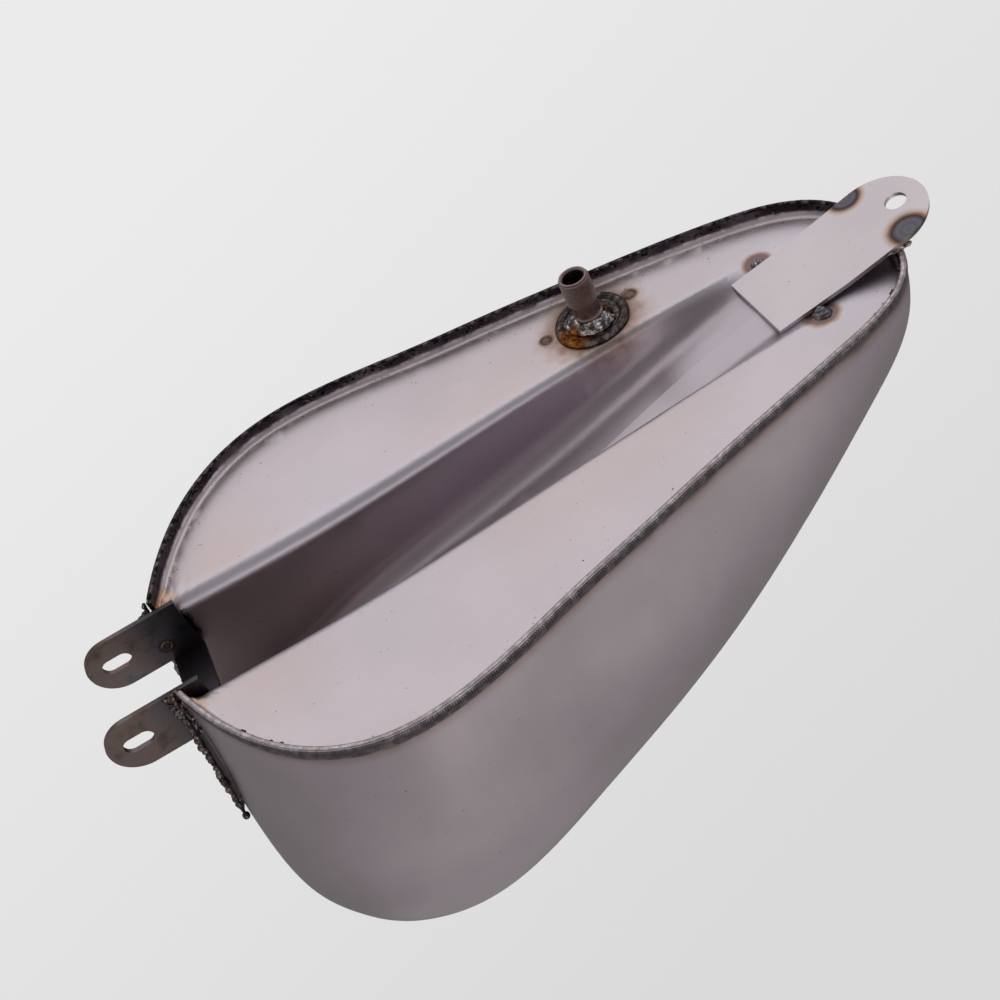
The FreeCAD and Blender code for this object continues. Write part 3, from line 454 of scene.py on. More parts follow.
def dark_steel_material(name, tone, rings=()):
    """Hot-rolled scale, tinted blue and brown in patches; all that lies behind the front tabs is darker and
    bluer as painted shade.
    """
    recipe = Recipe(name)
    scale = recipe.noise(55.0, 6.0, 0.65)
    fine = recipe.noise(800.0, 3.0, 0.6)
    brown = tuple(c * f for c, f in zip(tone, (1.0, 0.88, 0.80)))
    blue = tuple(c * f for c, f in zip(tone, (0.60, 0.74, 0.88)))
    dark = tuple(c * 0.45 for c in tone)
    colour = recipe.ramp(scale, [(0.30, dark), (0.45, brown), (0.6, tone), (0.72, blue)])
    x, _y, _z = recipe.axes()
    # Painted shade: darker and bluer behind the front tabs, for the shelter of the tunnel; the spigot and the
    # doubler lie wholly behind and are darkened all over.
    front = recipe.step(x, -0.030, -0.002)
    colour = recipe.mix(front, recipe.mix(1.0, colour, (0.42, 0.50, 0.62), "MULTIPLY"), colour)
    if rings:
        colour = recipe.mix(1.0, colour, recipe.ramp(recipe.nearness(rings, 0.08), TAB_RINGS), "MULTIPLY")
    roughness = recipe.step(scale, 0.3, 0.7, 0.44, 0.34)
    recipe.bump([(scale, 0.25, 0.0002), (fine, 0.2, 0.00005)])
    return recipe.finish(colour, roughness)


def weld_material(name, dark, bright, shine, rust=None, tinting=0.8, ripple=0.6):
    """As-welded metal: frozen ripples, dark slag and bright spots, with rust where it is given."""
    recipe = Recipe(name)
    coarse = recipe.noise(220.0, 5.0, 0.65)
    fine = recipe.noise(900.0, 4.0, 0.6)
    colour = recipe.mix(recipe.step(coarse, 0.42, 0.66), dark, bright)
    colour = recipe.mix(tinting, colour, recipe.ramp(recipe.noise(95.0, 2.0), WELD_TINTS), "MULTIPLY")
    roughness = recipe.step(coarse, 0.4, 0.7, shine + 0.2, shine)
    if rust is not None:
        point, radius = rust
        near = recipe.step(recipe.nearness([(point, radius)], 0.7), 0.55, 1.0, 1.0, 0.0)
        colour = recipe.mix(near, colour, recipe.ramp(recipe.noise(260.0, 6.0, 0.75), RUST))
        roughness = recipe.math("ADD", roughness, recipe.math("MULTIPLY", near, 0.3))
    recipe.bump([(coarse, ripple, 0.0004), (fine, ripple / 2, 0.0001)])
    return recipe.finish(colour, roughness)


def cap_material(name, tone, roughness_low):
    """Turned metal: circular tool marks round the cap's axis."""
    recipe = Recipe(name)
    x, y, _z = recipe.axes()
    low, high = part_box("cap_cover")
    dx = recipe.math("SUBTRACT", x, (low.x + high.x) / 2)
    squares = recipe.math("ADD", recipe.math("MULTIPLY", dx, dx), recipe.math("MULTIPLY", y, y))
    radius = recipe.math("SQRT", squares)
    grooves = recipe.math("SINE", recipe.math("MULTIPLY", radius, 14000.0))
    clouds = recipe.noise(30.0, 4.0)
    colour = recipe.mix(clouds, tuple(c * 0.85 for c in tone), tone)
    smudge = recipe.step(recipe.noise(140.0, 5.0, 0.6), 0.5, 0.75, 0.0, 0.12)
    roughness = recipe.math("ADD", recipe.step(clouds, 0.3, 0.7, roughness_low, roughness_low + 0.08), smudge)
    recipe.bump([(grooves, 0.12, 0.00003), (recipe.noise(900.0, 3.0), 0.1, 0.00003)])
    return recipe.finish(colour, roughness)


def rubber_material():
    """Black nitrile with a little dust."""
    recipe = Recipe("nitrile_rubber", metallic=0.0)
    dust = recipe.noise(160.0, 5.0, 0.6)
    colour = recipe.mix(recipe.step(dust, 0.5, 0.75), (0.018, 0.018, 0.019), (0.06, 0.058, 0.055))
    recipe.bump([(recipe.noise(1200.0, 3.0), 0.3, 0.00005)])
    return recipe.finish(colour, recipe.step(dust, 0.3, 0.7, 0.55, 0.75))


def dress(node, material):
    """Gives a carried-over CAD node its material."""
    slots = NODES[node].data.materials
    slots.clear()
    slots.append(material)
    for polygon in NODES[node].data.polygons:
        polygon.material_index = 0


# ---------------------------------------------------------------- making pieces


def piece(name, points, faces, material):
    """Smooth-shaded piece of weld metal that rides on the tank."""
    mesh = bpy.data.meshes.new(name)
    mesh.from_pydata([tuple(p) for p in points], [], faces)
    mesh.validate()
    made = bmesh.new()
    made.from_mesh(mesh)
    bmesh.ops.recalc_face_normals(made, faces=made.faces)
    made.to_mesh(mesh)
    made.free()
    for polygon in mesh.polygons:
        polygon.use_smooth = True
    obj = bpy.data.objects.new(name, mesh)
    bpy.context.scene.collection.objects.link(obj)
    mesh.materials.append(material)
    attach(obj, "tank")
    return obj


def swept(name, loops, material):
    """Closed skin through equal loops of points, with flat ends."""
    width = len(loops[0])
    points = [p for loop in loops for p in loop]
    faces = []
    for i in range(len(loops) - 1):
        for j in range(width):
            k = (j + 1) % width
            faces.append((i * width + j, i * width + k, (i + 1) * width + k, (i + 1) * width + j))
    faces.append(tuple(range(width)))
    faces.append(tuple(range((len(loops) - 1) * width, len(loops) * width)))
    return piece(name, points, faces, material)


def lumps(name, blobs, material, grain=0.0005, rough=0.25, seed=0):
    """Weld metal: (centre, radii) blobs melted into one rippled skin."""
    shape = bmesh.new()
    for centre, radii in blobs:
        place = Matrix.Translation(centre) @ Matrix.Diagonal((*radii, 1.0))
        bmesh.ops.create_icosphere(shape, subdivisions=3, radius=1.0, matrix=place)
    mesh = bpy.data.meshes.new(name + "_rough")
    shape.to_mesh(mesh)
    shape.free()
    rough_obj = bpy.data.objects.new(name + "_rough", mesh)
    bpy.context.scene.collection.objects.link(rough_obj)
    remesh = rough_obj.modifiers.new("melt", "REMESH")
    remesh.mode = "VOXEL"
    remesh.voxel_size = grain
    relax = rough_obj.modifiers.new("relax", "SMOOTH")
    relax.factor = 0.6
    relax.iterations = 5
    graph = bpy.context.evaluated_depsgraph_get()
    melted = bpy.data.meshes.new_from_object(rough_obj.evaluated_get(graph))
    bpy.data.objects.remove(rough_obj)
    offset = Vector((seed * 3.1, seed * 1.7, seed * 0.9))
    normals = [v.normal.copy() for v in melted.vertices]
    for vertex, normal in zip(melted.vertices, normals):
        coarse = noise.noise(vertex.co * 380 + offset)
        fine = noise.noise(vertex.co * 1300 + offset)
        vertex.co += normal * (coarse * rough + fine * rough * 0.2) * MM
    points = [v.co.copy() for v in melted.vertices]
    faces = [tuple(p.vertices) for p in melted.polygons]
    bpy.data.meshes.remove(melted)
    return piece(name, points, faces, material)


# ---------------------------------------------------------------- rim


BAND_TEETH = 400
COLUMNS_PER_TOOTH = 5


def seam_band(side, name, material):
    """Strip that the seam-welding wheel pressed along the shell just above the rim, with its fine teeth."""
    columns = BAND_TEETH * COLUMNS_PER_TOOTH
    stations = rim_table(columns)
    draw = random.Random(7 if side < 0 else 8)
    strength = [0.75 + 0.5 * draw.random() for _ in range(BAND_TEETH + 1)]
    shares = [0.0, 0.06, 0.16, 0.34, 0.52, 0.66, 0.80, 0.92, 1.0]
    lifts = [0.20, 0.44, 0.56, 0.56, 0.48, 0.34, 0.20, 0.08, -0.12]
    loops = []
    first = 12
    last = int(columns * 0.985)
    for i in range(first, last):
        place, normal = stations[i]
        tall = 7.6 - 2.6 * smooth(-place.x, 60, 380) - 2.4 * smooth(place.x, -26, -2)
        tall += 0.5 * noise.noise(Vector((place.x * 0.09, side * 9.0, 0)))
        tooth = strength[i // COLUMNS_PER_TOOTH] * (0.4, 0.9, 0.7, -0.5, -1.0)[i % COLUMNS_PER_TOOTH]
        bite = (0.25 + 0.75 * smooth(-place.x, 60, 150)) * (1 - 0.75 * smooth(-place.x, 350, 410))
        outward = Vector((normal.x, side * normal.y, 0))
        outer = []
        inner = []
        for share, lift in zip(shares, lifts):
            base = shell_side(place, normal, tall * share, side)
            full = smooth(share, 0.02, 0.2) * (1 - smooth(share, 0.55, 0.85))
            outer.append(base + outward * (lift + 0.42 * tooth * bite * full) * MM)
            inner.append(base - outward * 0.35 * MM)
        loops.append(outer + inner[::-1])
    return swept(name, loops, material)


def rim_edge(side, name, material):
    """Fused edge that closes the two sheets along the rim, from one side of the tunnel to the tail."""
    columns = 700
    stations = rim_table(columns)
    loops = []
    for i in range(4, columns - 1):
        place, normal = stations[i]
        level = DATUM.z + rim_height(place.x) * MM
        burnt = smooth(-place.x, 385, 440)
        wave = noise.noise(Vector((i * 0.35, side * 5.0, 0.0))) * (0.10 + 0.5 * burnt)
        wave += noise.noise(Vector((i * 0.06, side * 5.0, 3.0))) * 0.12
        width = 1.62 + 0.22 * wave
        deep = 0.85 + 0.3 * wave
        loop = []
        for k in range(12):
            angle = math.pi * 2 * k / 12
            across = -1.42 + width * math.cos(angle)
            down = deep * math.sin(angle) if math.sin(angle) > 0 else 0.45 * math.sin(angle)
            x = place.x + normal.x * across
            y = place.y + normal.y * across
            loop.append(Vector((DATUM.x + x * MM, side * y * MM, level - down * MM)))
        loops.append(loop)
    return swept(name, loops, material)


def flange_crust(side, name, material, spans, seed):
    """Rough re-weld along the inside of the flange, in separate spans of x."""
    draw = random.Random(seed)
    stations = rim_table(900)
    blobs = []
    for place, normal in stations[::2]:
        for low, high, chance in spans:
            if low <= place.x <= high and draw.random() < chance:
                inset = 2.9 + draw.uniform(-0.1, 0.5)
                x = place.x - normal.x * inset
                y = place.y - normal.y * inset
                z = rim_height(place.x) + draw.uniform(0.4, 4.2)
                radius = draw.uniform(0.5, 1.15)
                centre = at(x, side * y, z)
                blobs.append((centre, (radius * 1.5 * MM, radius * MM, radius * 0.9 * MM)))
    return lumps(name, blobs, material, grain=0.0004, rough=0.22, seed=seed)


def spatter(material):
    """Small frozen drops beside the welds, half sunk in the sheet."""
    draw = random.Random(11)
    shape = bmesh.new()
    count = 0
    stations = rim_table(400)
    while count < 150:
        place, normal = stations[draw.randrange(10, 396)]
        side = draw.choice((1, 1, 1, -1))
        inset = draw.choice((draw.uniform(4.5, 9), draw.uniform(4.5, 22)))
        x = DATUM.x + (place.x - normal.x * inset) * MM
        y = side * (place.y - normal.y * inset) * MM
        if place.y - normal.y * inset < 37:
            count += 1
            continue
        hit, face_normal = on_pan(x, y)
        radius = draw.choice((0.18, 0.22, 0.3, 0.42)) * MM
        centre = hit - face_normal * radius * 0.35
        squeeze = Matrix.Diagonal((draw.uniform(0.8, 1.5), draw.uniform(0.8, 1.3), 0.7, 1.0))
        placed = Matrix.Translation(centre) @ squeeze
        bmesh.ops.create_icosphere(shape, subdivisions=2, radius=radius, matrix=placed)
        count += 1
    mesh = bpy.data.meshes.new("spatter_made")
    shape.to_mesh(mesh)
    shape.free()
    points = []
    for vertex in mesh.vertices:
        spot = vertex.co * 2600
        push = Vector((noise.noise(spot), noise.noise(spot + Vector((9, 0, 0))), 0))
        points.append(vertex.co + push * 0.06 * MM)
    faces = [tuple(p.vertices) for p in mesh.polygons]
    bpy.data.meshes.remove(mesh)
    return piece("weld_spatter", points, faces, material)


# ---------------------------------------------------------------- weld pieces


def mouth_bead(material):
    """Lumpy bead between the shell's front edge and the tunnel's lip, up one side and down the other."""
    draw = random.Random(21)
    path = [(38.2, 1.5), (38.0, 13), (36.9, 35), (34.4, 66), (33.6, 97), (28.6, 112)]
    path += [(20.4, 117.4), (0, 118.2)]
    trail_start = (14.6, 33.4, 98)
    trail_end = (16.6, 32.2, 115)
    blobs = []
    for side in (-1, 1):
        for (ya, za), (yb, zb) in zip(path, path[1:]):
            steps = max(int(math.dist((ya, za), (yb, zb)) / 1.1), 1)
            for i in range(steps):
                share = i / steps
                y = ya + (yb - ya) * share
                z = za + (zb - za) * share
                centre = at(MOUTH_SLANT * z + 1.5, side * y, z)
                blobs.append((centre, (0.0011, 0.0010, 0.0011)))
                if i % 3 == 1:
                    fuller = 1 + 0.35 * smooth(z, 30, 45) * smooth(-z, -110, -80)
                    radius = draw.uniform(1.1, 1.9) * fuller * MM
                    place = centre + Vector((draw.uniform(0.2, 1.2), side * draw.uniform(-0.9, 0.5), 0)) * MM
                    blobs.append((place, (radius, radius, radius * draw.uniform(0.8, 1.3))))
        top = at(trail_start[0], side * trail_start[1], trail_start[2])
        drop = at(trail_end[0], side * trail_end[1], trail_end[2])
        for share in (0.0, 0.14, 0.28, 0.42, 0.56, 0.7, 0.85):
            blobs.append((top.lerp(drop, share), (0.0013, 0.0012, 0.0015)))
        blobs.append((drop, (0.0023, 0.0023, 0.0027)))
    bead = lumps("mouth_bead", blobs, material, grain=0.0005, rough=0.25, seed=3)
    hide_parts("mouth_weld_bead")
    return bead


def tab_weld(side, name, material, seed):
    """Wide weld that ties a front tab's outer face to the shell's front corner."""
    draw = random.Random(seed)
    blobs = []
    for i in range(46):
        z = 4.5 + 33.0 * i / 45
        for across in (0.0, 1.0):
            x = 3.6 + 3.4 * across + draw.uniform(-0.8, 0.8)
            y = 34.4 - 0.9 * across + draw.uniform(-0.5, 0.4)
            radius = draw.uniform(1.0, 1.9) * (1.0 - 0.3 * across)
            blobs.append((at(x, side * y, z + draw.uniform(-0.6, 0.6)),
                          (radius * 1.15 * MM, radius * MM, radius * 0.8 * MM)))
    return lumps(name, blobs, material, grain=0.0005, rough=0.3, seed=seed)


def bracket_fillets(material):
    """Short fillets behind the saddle, where its rear edges meet the tunnel's walls."""
    low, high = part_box("bracket_welds")
    draw = random.Random(31)
    blobs = []
    for side in (-1, 1):
        for i in range(26):
            z = low.z + (high.z - low.z) * (i + 0.5) / 26
            radius = draw.uniform(1.1, 1.7) * MM
            centre = Vector((low.x + 0.0018 + draw.uniform(-0.3, 0.3) * MM, side * (high.y - 0.0021), z))
            blobs.append((centre, (radius, radius, radius * 0.8)))
    fillets = lumps("bracket_fillets", blobs, material, grain=0.0004, rough=0.3, seed=5)
    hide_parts("bracket_welds")
    return fillets


def puddle(name, centre, normal, radii, turn, material, ripples, dome, peak):
    """Frozen puddle: a low dome with rings left by the cooling edge and a peak in its middle."""
    rings = 22
    around = 48
    side_a = normal.orthogonal().normalized()
    side_b = normal.cross(side_a).normalized()
    along = side_a * math.cos(turn) + side_b * math.sin(turn)
    across = normal.cross(along).normalized()
    points = []
    for i in range(rings + 1):
        share = i / rings
        for j in range(around):
            angle = math.pi * 2 * j / around
            on_circle = Vector((math.cos(angle) * 1.6, math.sin(angle) * 1.6, centre.x * 300))
            edge = 1 + 0.09 * noise.noise(on_circle)
            u = math.cos(angle) * share * radii[0] * edge
            v = math.sin(angle) * share * radii[1] * edge
            rise = (1 - share ** 2.4) * dome * min(radii)
            rise += 0.035 * min(radii) * math.sin(share * math.pi * 2 * ripples) * (1 - share) ** 0.3
            rise += 0.05 * min(radii) * noise.noise(Vector((u, v, centre.y)) * 900)
            rise += peak * min(radii) * math.exp(-((share * 2.6) ** 2))
            points.append(centre + along * u + across * v + normal * rise)
    for j in range(around):
        angle = math.pi * 2 * j / around
        out = along * math.cos(angle) * radii[0] + across * math.sin(angle) * radii[1]
        points.append(centre + out * 0.92 - normal * 0.25 * min(radii))
    faces = []
    for i in range(rings + 1):
        for j in range(around):
            k = (j + 1) % around
            faces.append((i * around + j, i * around + k, (i + 1) * around + k, (i + 1) * around + j))
    faces.append(tuple(range((rings + 1) * around, (rings + 2) * around)))
    return piece(name, points, faces, material)


def tongue_tacks(material):
    """Two bright puddles beside the tongue and two crusts where it crosses the rim."""
    low, _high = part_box("tongue_welds")
    made = []
    for name, radii in (("left", (0.0052, 0.0040)), ("right", (0.0062, 0.0056))):
        place = TACKS[name][0]
        centre, normal = on_pan(place.x, place.y)
        made.append(puddle("tongue_tack_" + name, centre - normal * 0.0002, normal, radii, 0.5, material,
                           ripples=3, dome=0.55, peak=0.3))
    draw = random.Random(41)
    blobs = []
    for side in (-1, 1):
        for i in range(20):
            x = low.x + 0.0046 + 0.007 * (i / 19 - 0.5) * 2 + draw.uniform(-0.4, 0.4) * MM
            radius = draw.uniform(0.7, 1.35) * MM
            y = side * (0.0268 + draw.uniform(-0.3, 1.2) * MM)
            z = DATUM.z - 0.0040 + draw.uniform(-0.8, 0.9) * MM
            blobs.append((Vector((x, y, z)), (radius * 1.2, radius, radius)))
    made.append(lumps("tongue_rear_welds", blobs, material, grain=0.0004, rough=0.3, seed=6))
    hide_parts("tongue_welds")
    return made


def spigot_weld(bright, dark):
    """Bright run of weld round the spigot's foot, heaped on its front side, over a darker ring."""
    low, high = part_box("spigot_boss")
    centre = (low + high) / 2
    weld_low, weld_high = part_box("spigot_weld")
    draw = random.Random(51)
    shiny = []
    dull = []
    for i in range(84):
        angle = math.pi * 2 * i / 84
        facing = math.cos(angle + math.radians(55))
        for reach, share in ((9.6, 0.30), (11.4, 0.58), (13.2, 0.86)):
            radius = draw.uniform(1.3, 2.1) * MM
            out = (reach + draw.uniform(-0.5, 0.5)) * MM
            z = weld_low.z + (weld_high.z - weld_low.z) * share + draw.uniform(-0.4, 0.4) * MM
            place = Vector((centre.x + math.cos(angle) * out, centre.y + math.sin(angle) * out, z))
            if facing > 0.05:
                shiny.append((place, (radius * (1 + 0.15 * facing),) * 3))
            elif share < 0.8:
                dull.append((place, (radius, radius, radius * 0.85)))
    run = lumps("spigot_weld_run", shiny, bright, grain=0.0004, rough=0.3, seed=7)
    ring = lumps("spigot_weld_ring", dull, dark, grain=0.0005, rough=0.35, seed=8)
    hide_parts("spigot_weld")
    return run, ring


def spot_dimples(material):
    """Low rings round the two spot welds of the inner doubler, and one round the mark on a front tab."""
    made = []
    for name, (x, y) in SPOT_WELDS.items():
        centre, normal = on_pan(x, y)
        made.append(ring_mark("spot_weld_" + name, centre, normal, 0.0031, 0.00045, material))
    made.append(ring_mark("spot_weld_tab", TAB_MARK, Vector((0, -1, 0)), 0.0028, 0.00035, material))
    return made


def ring_mark(name, centre, normal, radius, thick, material):
    """Raised ring left by a spot-welding electrode: a torus sunk to half its depth, uneven in height."""
    side_a = normal.orthogonal().normalized()
    side_b = normal.cross(side_a).normalized()
    loops = []
    around = 40
    sides = 10
    for i in range(around):
        angle = math.pi * 2 * i / around
        out = side_a * math.cos(angle) * 1.15 + side_b * math.sin(angle)
        uneven = 1 + 0.3 * noise.noise(out * 2.3 + centre * 90)
        loop = []
        for k in range(sides):
            turn = math.pi * 2 * k / sides
            rise = math.sin(turn) * thick * 0.6 * uneven
            loop.append(centre + out * (radius + math.cos(turn) * thick) + normal * rise)
        loops.append(loop)
    points = [p for loop in loops for p in loop]
    faces = []
    for i in range(around):
        for j in range(sides):
            n = (i + 1) % around
            k = (j + 1) % sides
            faces.append((i * sides + j, i * sides + k, n * sides + k, n * sides + j))
    return piece(name, points, faces, material)


def top_seam(material):
    """Dressed weld along the top centre line, from above the mouth to the tail, broken at the neck."""
    steps = 559
    above = 0.3
    neck_clear = 0.0335
    runs = [[]]
    for i in range(steps + 1):
        x = DATUM.x + (10 - 455 * i / steps) * MM
        if abs(x - NECK.x) < neck_clear:
            if len(runs) == 1:
                runs.append([])
            continue
        hit = SHELL.ray_cast(Vector((x, 0.0012, above)), Vector((0, 0, -1)))[0]
        if hit is None:
            continue
        wave = noise.noise(Vector((x * 400, 0, 0)))
        half = (2.6 + 0.5 * wave) * MM
        rise = (0.32 + 0.12 * wave) * MM
        loop = []
        for k in range(9):
            share = -1 + 2 * k / 8
            loop.append(Vector((x, share * half, hit.z - 0.0002 + rise * (1 - share * share))))
        loop += [Vector((x, half, hit.z - 0.0006)), Vector((x, -half, hit.z - 0.0006))]
        runs[-1].append(loop)
    return [swept("top_seam_" + name, run, material) for name, run in zip(("front", "rear"), runs)]


def neck_bead(material):
    """Stack-of-coins bead round the filler neck's foot."""
    low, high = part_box("filler_neck")
    middle = (low.x + high.x) / 2
    coins = 104
    reach = 0.0277
    blobs = []
    for i in range(coins):
        angle = math.pi * 2 * i / coins
        x = middle + math.cos(angle) * reach
        y = math.sin(angle) * reach
        hit = SHELL.ray_cast(Vector((x, max(abs(y), 0.0004), 0.3)), Vector((0, 0, -1)))[0]
        blobs.append((Vector((x, y, hit.z + 0.0004)), (0.0019, 0.0019, 0.0015)))
    bead = lumps("neck_bead", blobs, material, grain=0.0004, rough=0.12, seed=9)
    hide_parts("neck_weld")
    return bead


# ---------------------------------------------------------------- build


def dress_nodes():
    """Materials of the CAD nodes that stay in view."""
    side = shell_material()
    for node in ("shell_left", "shell_right"):
        dress(node, side)
    dress("bottom_pan", pan_material())
    dress("tongue_plate", tongue_material())
    dress("front_bracket", dark_steel_material("bracket_steel", (0.20, 0.165, 0.158), [(TAB_MARK, 0.012)]))
    dress("fuel_spigot", dark_steel_material("spigot_steel", (0.70, 0.46, 0.36)))
    low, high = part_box("spigot_boss")
    centre = (low + high) / 2
    rust = (centre + Vector((0.0155, -0.0075, -0.001)), 0.0125)
    dress("spigot_boss", weld_material("boss_steel", (0.05, 0.037, 0.034), (0.22, 0.18, 0.17), 0.26, rust))
    dress("spigot_backing_plate", dark_steel_material("doubler_steel", (0.4, 0.36, 0.36)))
    dress("filler_neck", cap_material("neck_steel", (0.50, 0.47, 0.47), 0.28))
    alloy = cap_material("cap_alloy", (0.80, 0.80, 0.81), 0.22)
    for node in ("cap_cover", "cap_plug"):
        dress(node, alloy)
    zinc = cap_material("zinc_plate", (0.72, 0.71, 0.66), 0.25)
    for node in ("cap_screws", "vent_spring", "vent_retainer"):
        dress(node, zinc)
    rubber = rubber_material()
    for node in ("cap_gasket", "vent_valve"):
        dress(node, rubber)


def build_pieces():
    """Weld metal round the CAD nodes, each kind with its own tone and shine."""
    band = weld_material("seam_band_steel", (0.10, 0.085, 0.092), (0.22, 0.19, 0.20), 0.18, tinting=0.1,
                         ripple=0.06)
    edge = weld_material("rim_edge_steel", (0.40, 0.355, 0.365), (0.66, 0.60, 0.62), 0.22, tinting=0.3)
    slag = weld_material("slag_weld", (0.012, 0.010, 0.012), (0.16, 0.13, 0.13), 0.2)
    grey = weld_material("grey_weld", (0.05, 0.042, 0.04), (0.34, 0.30, 0.29), 0.2)
    low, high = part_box("spigot_boss")
    centre = (low + high) / 2
    rust = (centre + Vector((0.015, -0.006, -0.003)), 0.007)
    more_rust = (centre + Vector((0.008, -0.012, -0.002)), 0.011)
    bright = weld_material("bright_weld", (0.10, 0.085, 0.08), (0.85, 0.82, 0.83), 0.12, rust)
    rusty = weld_material("rusty_weld", (0.03, 0.02, 0.016), (0.20, 0.13, 0.10), 0.3, more_rust)
    for side, name in ((-1, "right"), (1, "left")):
        seam_band(side, "seam_band_" + name, band)
        rim_edge(side, "rim_edge_" + name, edge if side < 0 else slag)
        tab_weld(side, "tab_weld_" + name, grey, 60 + side)
    flange_crust(1, "flange_crust_left", slag, [(-60, -20, 0.5), (-330, -120, 0.55), (-440, -330, 0.25)], 71)
    flange_crust(-1, "flange_crust_right", slag, [(-40, -15, 0.3), (-445, -400, 0.6)], 72)
    mouth_bead(weld_material("bead_weld", (0.03, 0.022, 0.02), (0.24, 0.185, 0.165), 0.16, tinting=0.6))
    bracket_fillets(slag)
    tongue_tacks(weld_material("tack_weld", (0.16, 0.14, 0.14), (0.62, 0.58, 0.60), 0.14))
    spigot_weld(bright, rusty)
    spot_dimples(weld_material("spot_steel", (0.12, 0.09, 0.075), (0.36, 0.30, 0.27), 0.3))
    spatter(slag)
    top_seam(weld_material("dressed_weld", (0.42, 0.39, 0.39), (0.72, 0.69, 0.69), 0.24))
    neck_bead(weld_material("tig_weld", (0.24, 0.21, 0.22), (0.62, 0.57, 0.58), 0.18))


# ---------------------------------------------------------------- stage, light and camera


def paper(name, tone, lift):
    """Matt paper, which the camera sees a little lighter than it lights the tank."""
    recipe = Recipe(name, metallic=0.0)
    fibre = recipe.noise(14.0, 6.0, 0.6)
    colour = recipe.mix(recipe.step(fibre, 0.3, 0.7), tuple(c * 0.96 for c in tone), tone)
    recipe.bump([(fibre, 0.1, 0.002)])
    seen = recipe.add("ShaderNodeLightPath").outputs["Is Camera Ray"]
    recipe.surface.inputs["Emission Color"].default_value = (1.0, 1.0, 1.0, 1.0)
    recipe.feed(recipe.surface.inputs["Emission Strength"], recipe.math("MULTIPLY", seen, lift))
    return recipe.finish(colour, 0.9)


def floor():
    """Pale floor well below the tank and the camera, with gently waved mesh so it has its own grain."""
    side = 60
    reach = 9.0
    level = -3.2
    points = []
    for i in range(side + 1):
        for j in range(side + 1):
            x = -reach + 2 * reach * i / side
            y = -reach + 2 * reach * j / side
            points.append((x, y, level + 0.002 * noise.noise(Vector((x, y, 0)))))
    row = side + 1
    faces = []
    for i in range(side):
        for j in range(side):
            faces.append((i * row + j, (i + 1) * row + j, (i + 1) * row + j + 1, i * row + j + 1))
    mesh = bpy.data.meshes.new("floor")
    mesh.from_pydata(points, [], faces)
    obj = bpy.data.objects.new("floor", mesh)
    bpy.context.scene.collection.objects.link(obj)
    mesh.materials.append(paper("pale_floor", (0.80, 0.80, 0.80), 0.36))


def linear(tree, value, low, high, start, end):
    """Straight run from start at low to end at high, held at both ends."""
    node = tree.nodes.new("ShaderNodeMapRange")
    for key, given in zip(("From Min", "From Max", "To Min", "To Max"), (low, high, start, end)):
        node.inputs[key].default_value = given
    tree.links.new(value, node.inputs["Value"])
    return node.outputs[0]


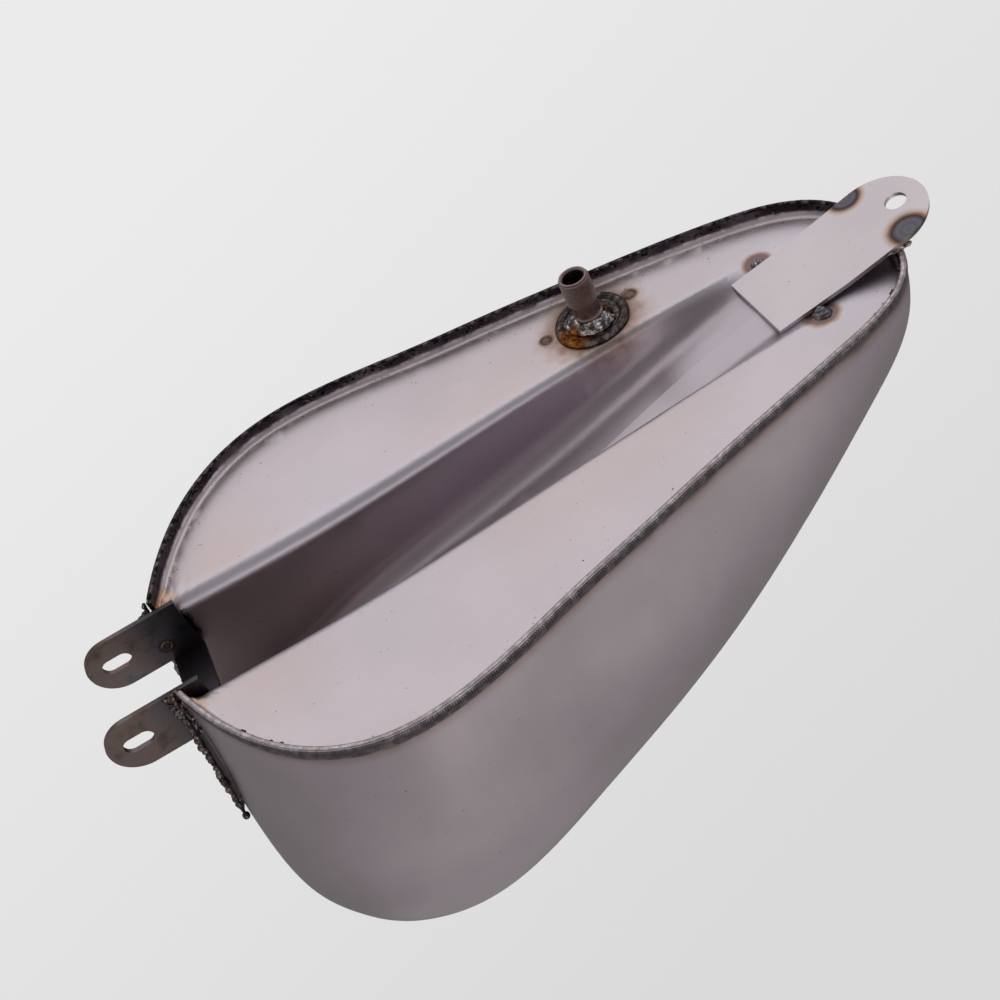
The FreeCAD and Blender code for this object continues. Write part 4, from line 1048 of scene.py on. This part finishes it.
def world():
    """Pale studio: what the camera sees is even and pale; what lights the steel is graded by direction."""
    made = bpy.data.worlds.new("studio")
    made.use_nodes = True
    tree = made.node_tree
    tree.nodes.clear()
    output = tree.nodes.new("ShaderNodeOutputWorld")
    place = tree.nodes.new("ShaderNodeTexCoord").outputs["Generated"]
    parts = tree.nodes.new("ShaderNodeSeparateXYZ")
    tree.links.new(place, parts.inputs[0])
    ramp = tree.nodes.new("ShaderNodeValToRGB")
    stops = [(0.0, 0.95), (0.28, 1.10), (0.48, 0.66), (0.70, 0.38), (0.86, 0.30), (1.0, 0.30)]
    while len(ramp.color_ramp.elements) < len(stops):
        ramp.color_ramp.elements.new(0.5)
    for element, (position, value) in zip(ramp.color_ramp.elements, stops):
        element.position = position
        element.color = (value, value * 0.985, value * 0.995, 1.0)
    tree.links.new(linear(tree, parts.outputs[2], -1.0, 1.0, 0.0, 1.0), ramp.inputs[0])
    graded = tree.nodes.new("ShaderNodeBackground")
    tree.links.new(ramp.outputs[0], graded.inputs["Color"])
    strength = tree.nodes.new("ShaderNodeMath")
    strength.operation = "MULTIPLY"
    tree.links.new(linear(tree, parts.outputs[0], -1.0, 1.0, 1.12, 1.10), strength.inputs[0])
    tree.links.new(linear(tree, parts.outputs[1], -1.0, 1.0, 1.20, 0.40), strength.inputs[1])
    tree.links.new(strength.outputs[0], graded.inputs["Strength"])
    plain = tree.nodes.new("ShaderNodeBackground")
    slope = tree.nodes.new("ShaderNodeVectorMath")
    slope.operation = "DOT_PRODUCT"
    slope.inputs[1].default_value = (-0.36, -0.94, 0.99)
    tree.links.new(place, slope.inputs[0])
    tree.links.new(linear(tree, slope.outputs["Value"], -0.45, 0.45, 0.83, 0.70), plain.inputs["Color"])
    path = tree.nodes.new("ShaderNodeLightPath")
    choose = tree.nodes.new("ShaderNodeMixShader")
    tree.links.new(path.outputs["Is Camera Ray"], choose.inputs[0])
    tree.links.new(graded.outputs[0], choose.inputs[1])
    tree.links.new(plain.outputs[0], choose.inputs[2])
    tree.links.new(choose.outputs[0], output.inputs["Surface"])
    bpy.context.scene.world = made


def softbox(name, place, target, size, power):
    """Large soft light, out of the camera's sight, turned to a target; size in metres, power in watts."""
    light = bpy.data.lights.new(name, "AREA")
    light.shape = "RECTANGLE"
    light.size, light.size_y = size
    light.energy = power
    obj = bpy.data.objects.new(name, light)
    bpy.context.scene.collection.objects.link(obj)
    obj.location = place
    obj.visible_camera = False
    obj.rotation_mode = "QUATERNION"
    obj.rotation_quaternion = (Vector(target) - Vector(place)).to_track_quat("-Z", "Y")
    return obj


def camera():
    """Camera below the tank and to the rider's right, looking up at the underside."""
    data = bpy.data.cameras.new("camera")
    data.lens = 52.15
    data.sensor_width = 36.0
    data.clip_start = 0.01
    data.clip_end = 60.0
    obj = bpy.data.objects.new("camera", data)
    bpy.context.scene.collection.objects.link(obj)
    right = Vector((-0.86285, -0.37402, 0.34000)).normalized()
    forward = Vector((-0.04902, 0.73141, 0.68018)).normalized()
    up = right.cross(forward)
    turn = Matrix((right, up, -forward)).transposed().to_4x4()
    obj.matrix_world = Matrix.Translation((-0.1892, -0.5850, -0.5331)) @ turn
    bpy.context.scene.camera = obj


dress_nodes()
build_pieces()
floor()
world()
centre = (CAD_LOW + CAD_HIGH) / 2
softbox("key", (-0.4, 1.15, -1.75), centre, (3.4, 2.8), 17)
softbox("fill", (-0.6, -1.9, 0.6), centre, (1.4, 1.4), 5)
softbox("top", (0.2, -0.3, 2.2), centre, (1.6, 1.6), 1)
camera()
bpy.context.scene.view_settings.view_transform = "Standard"
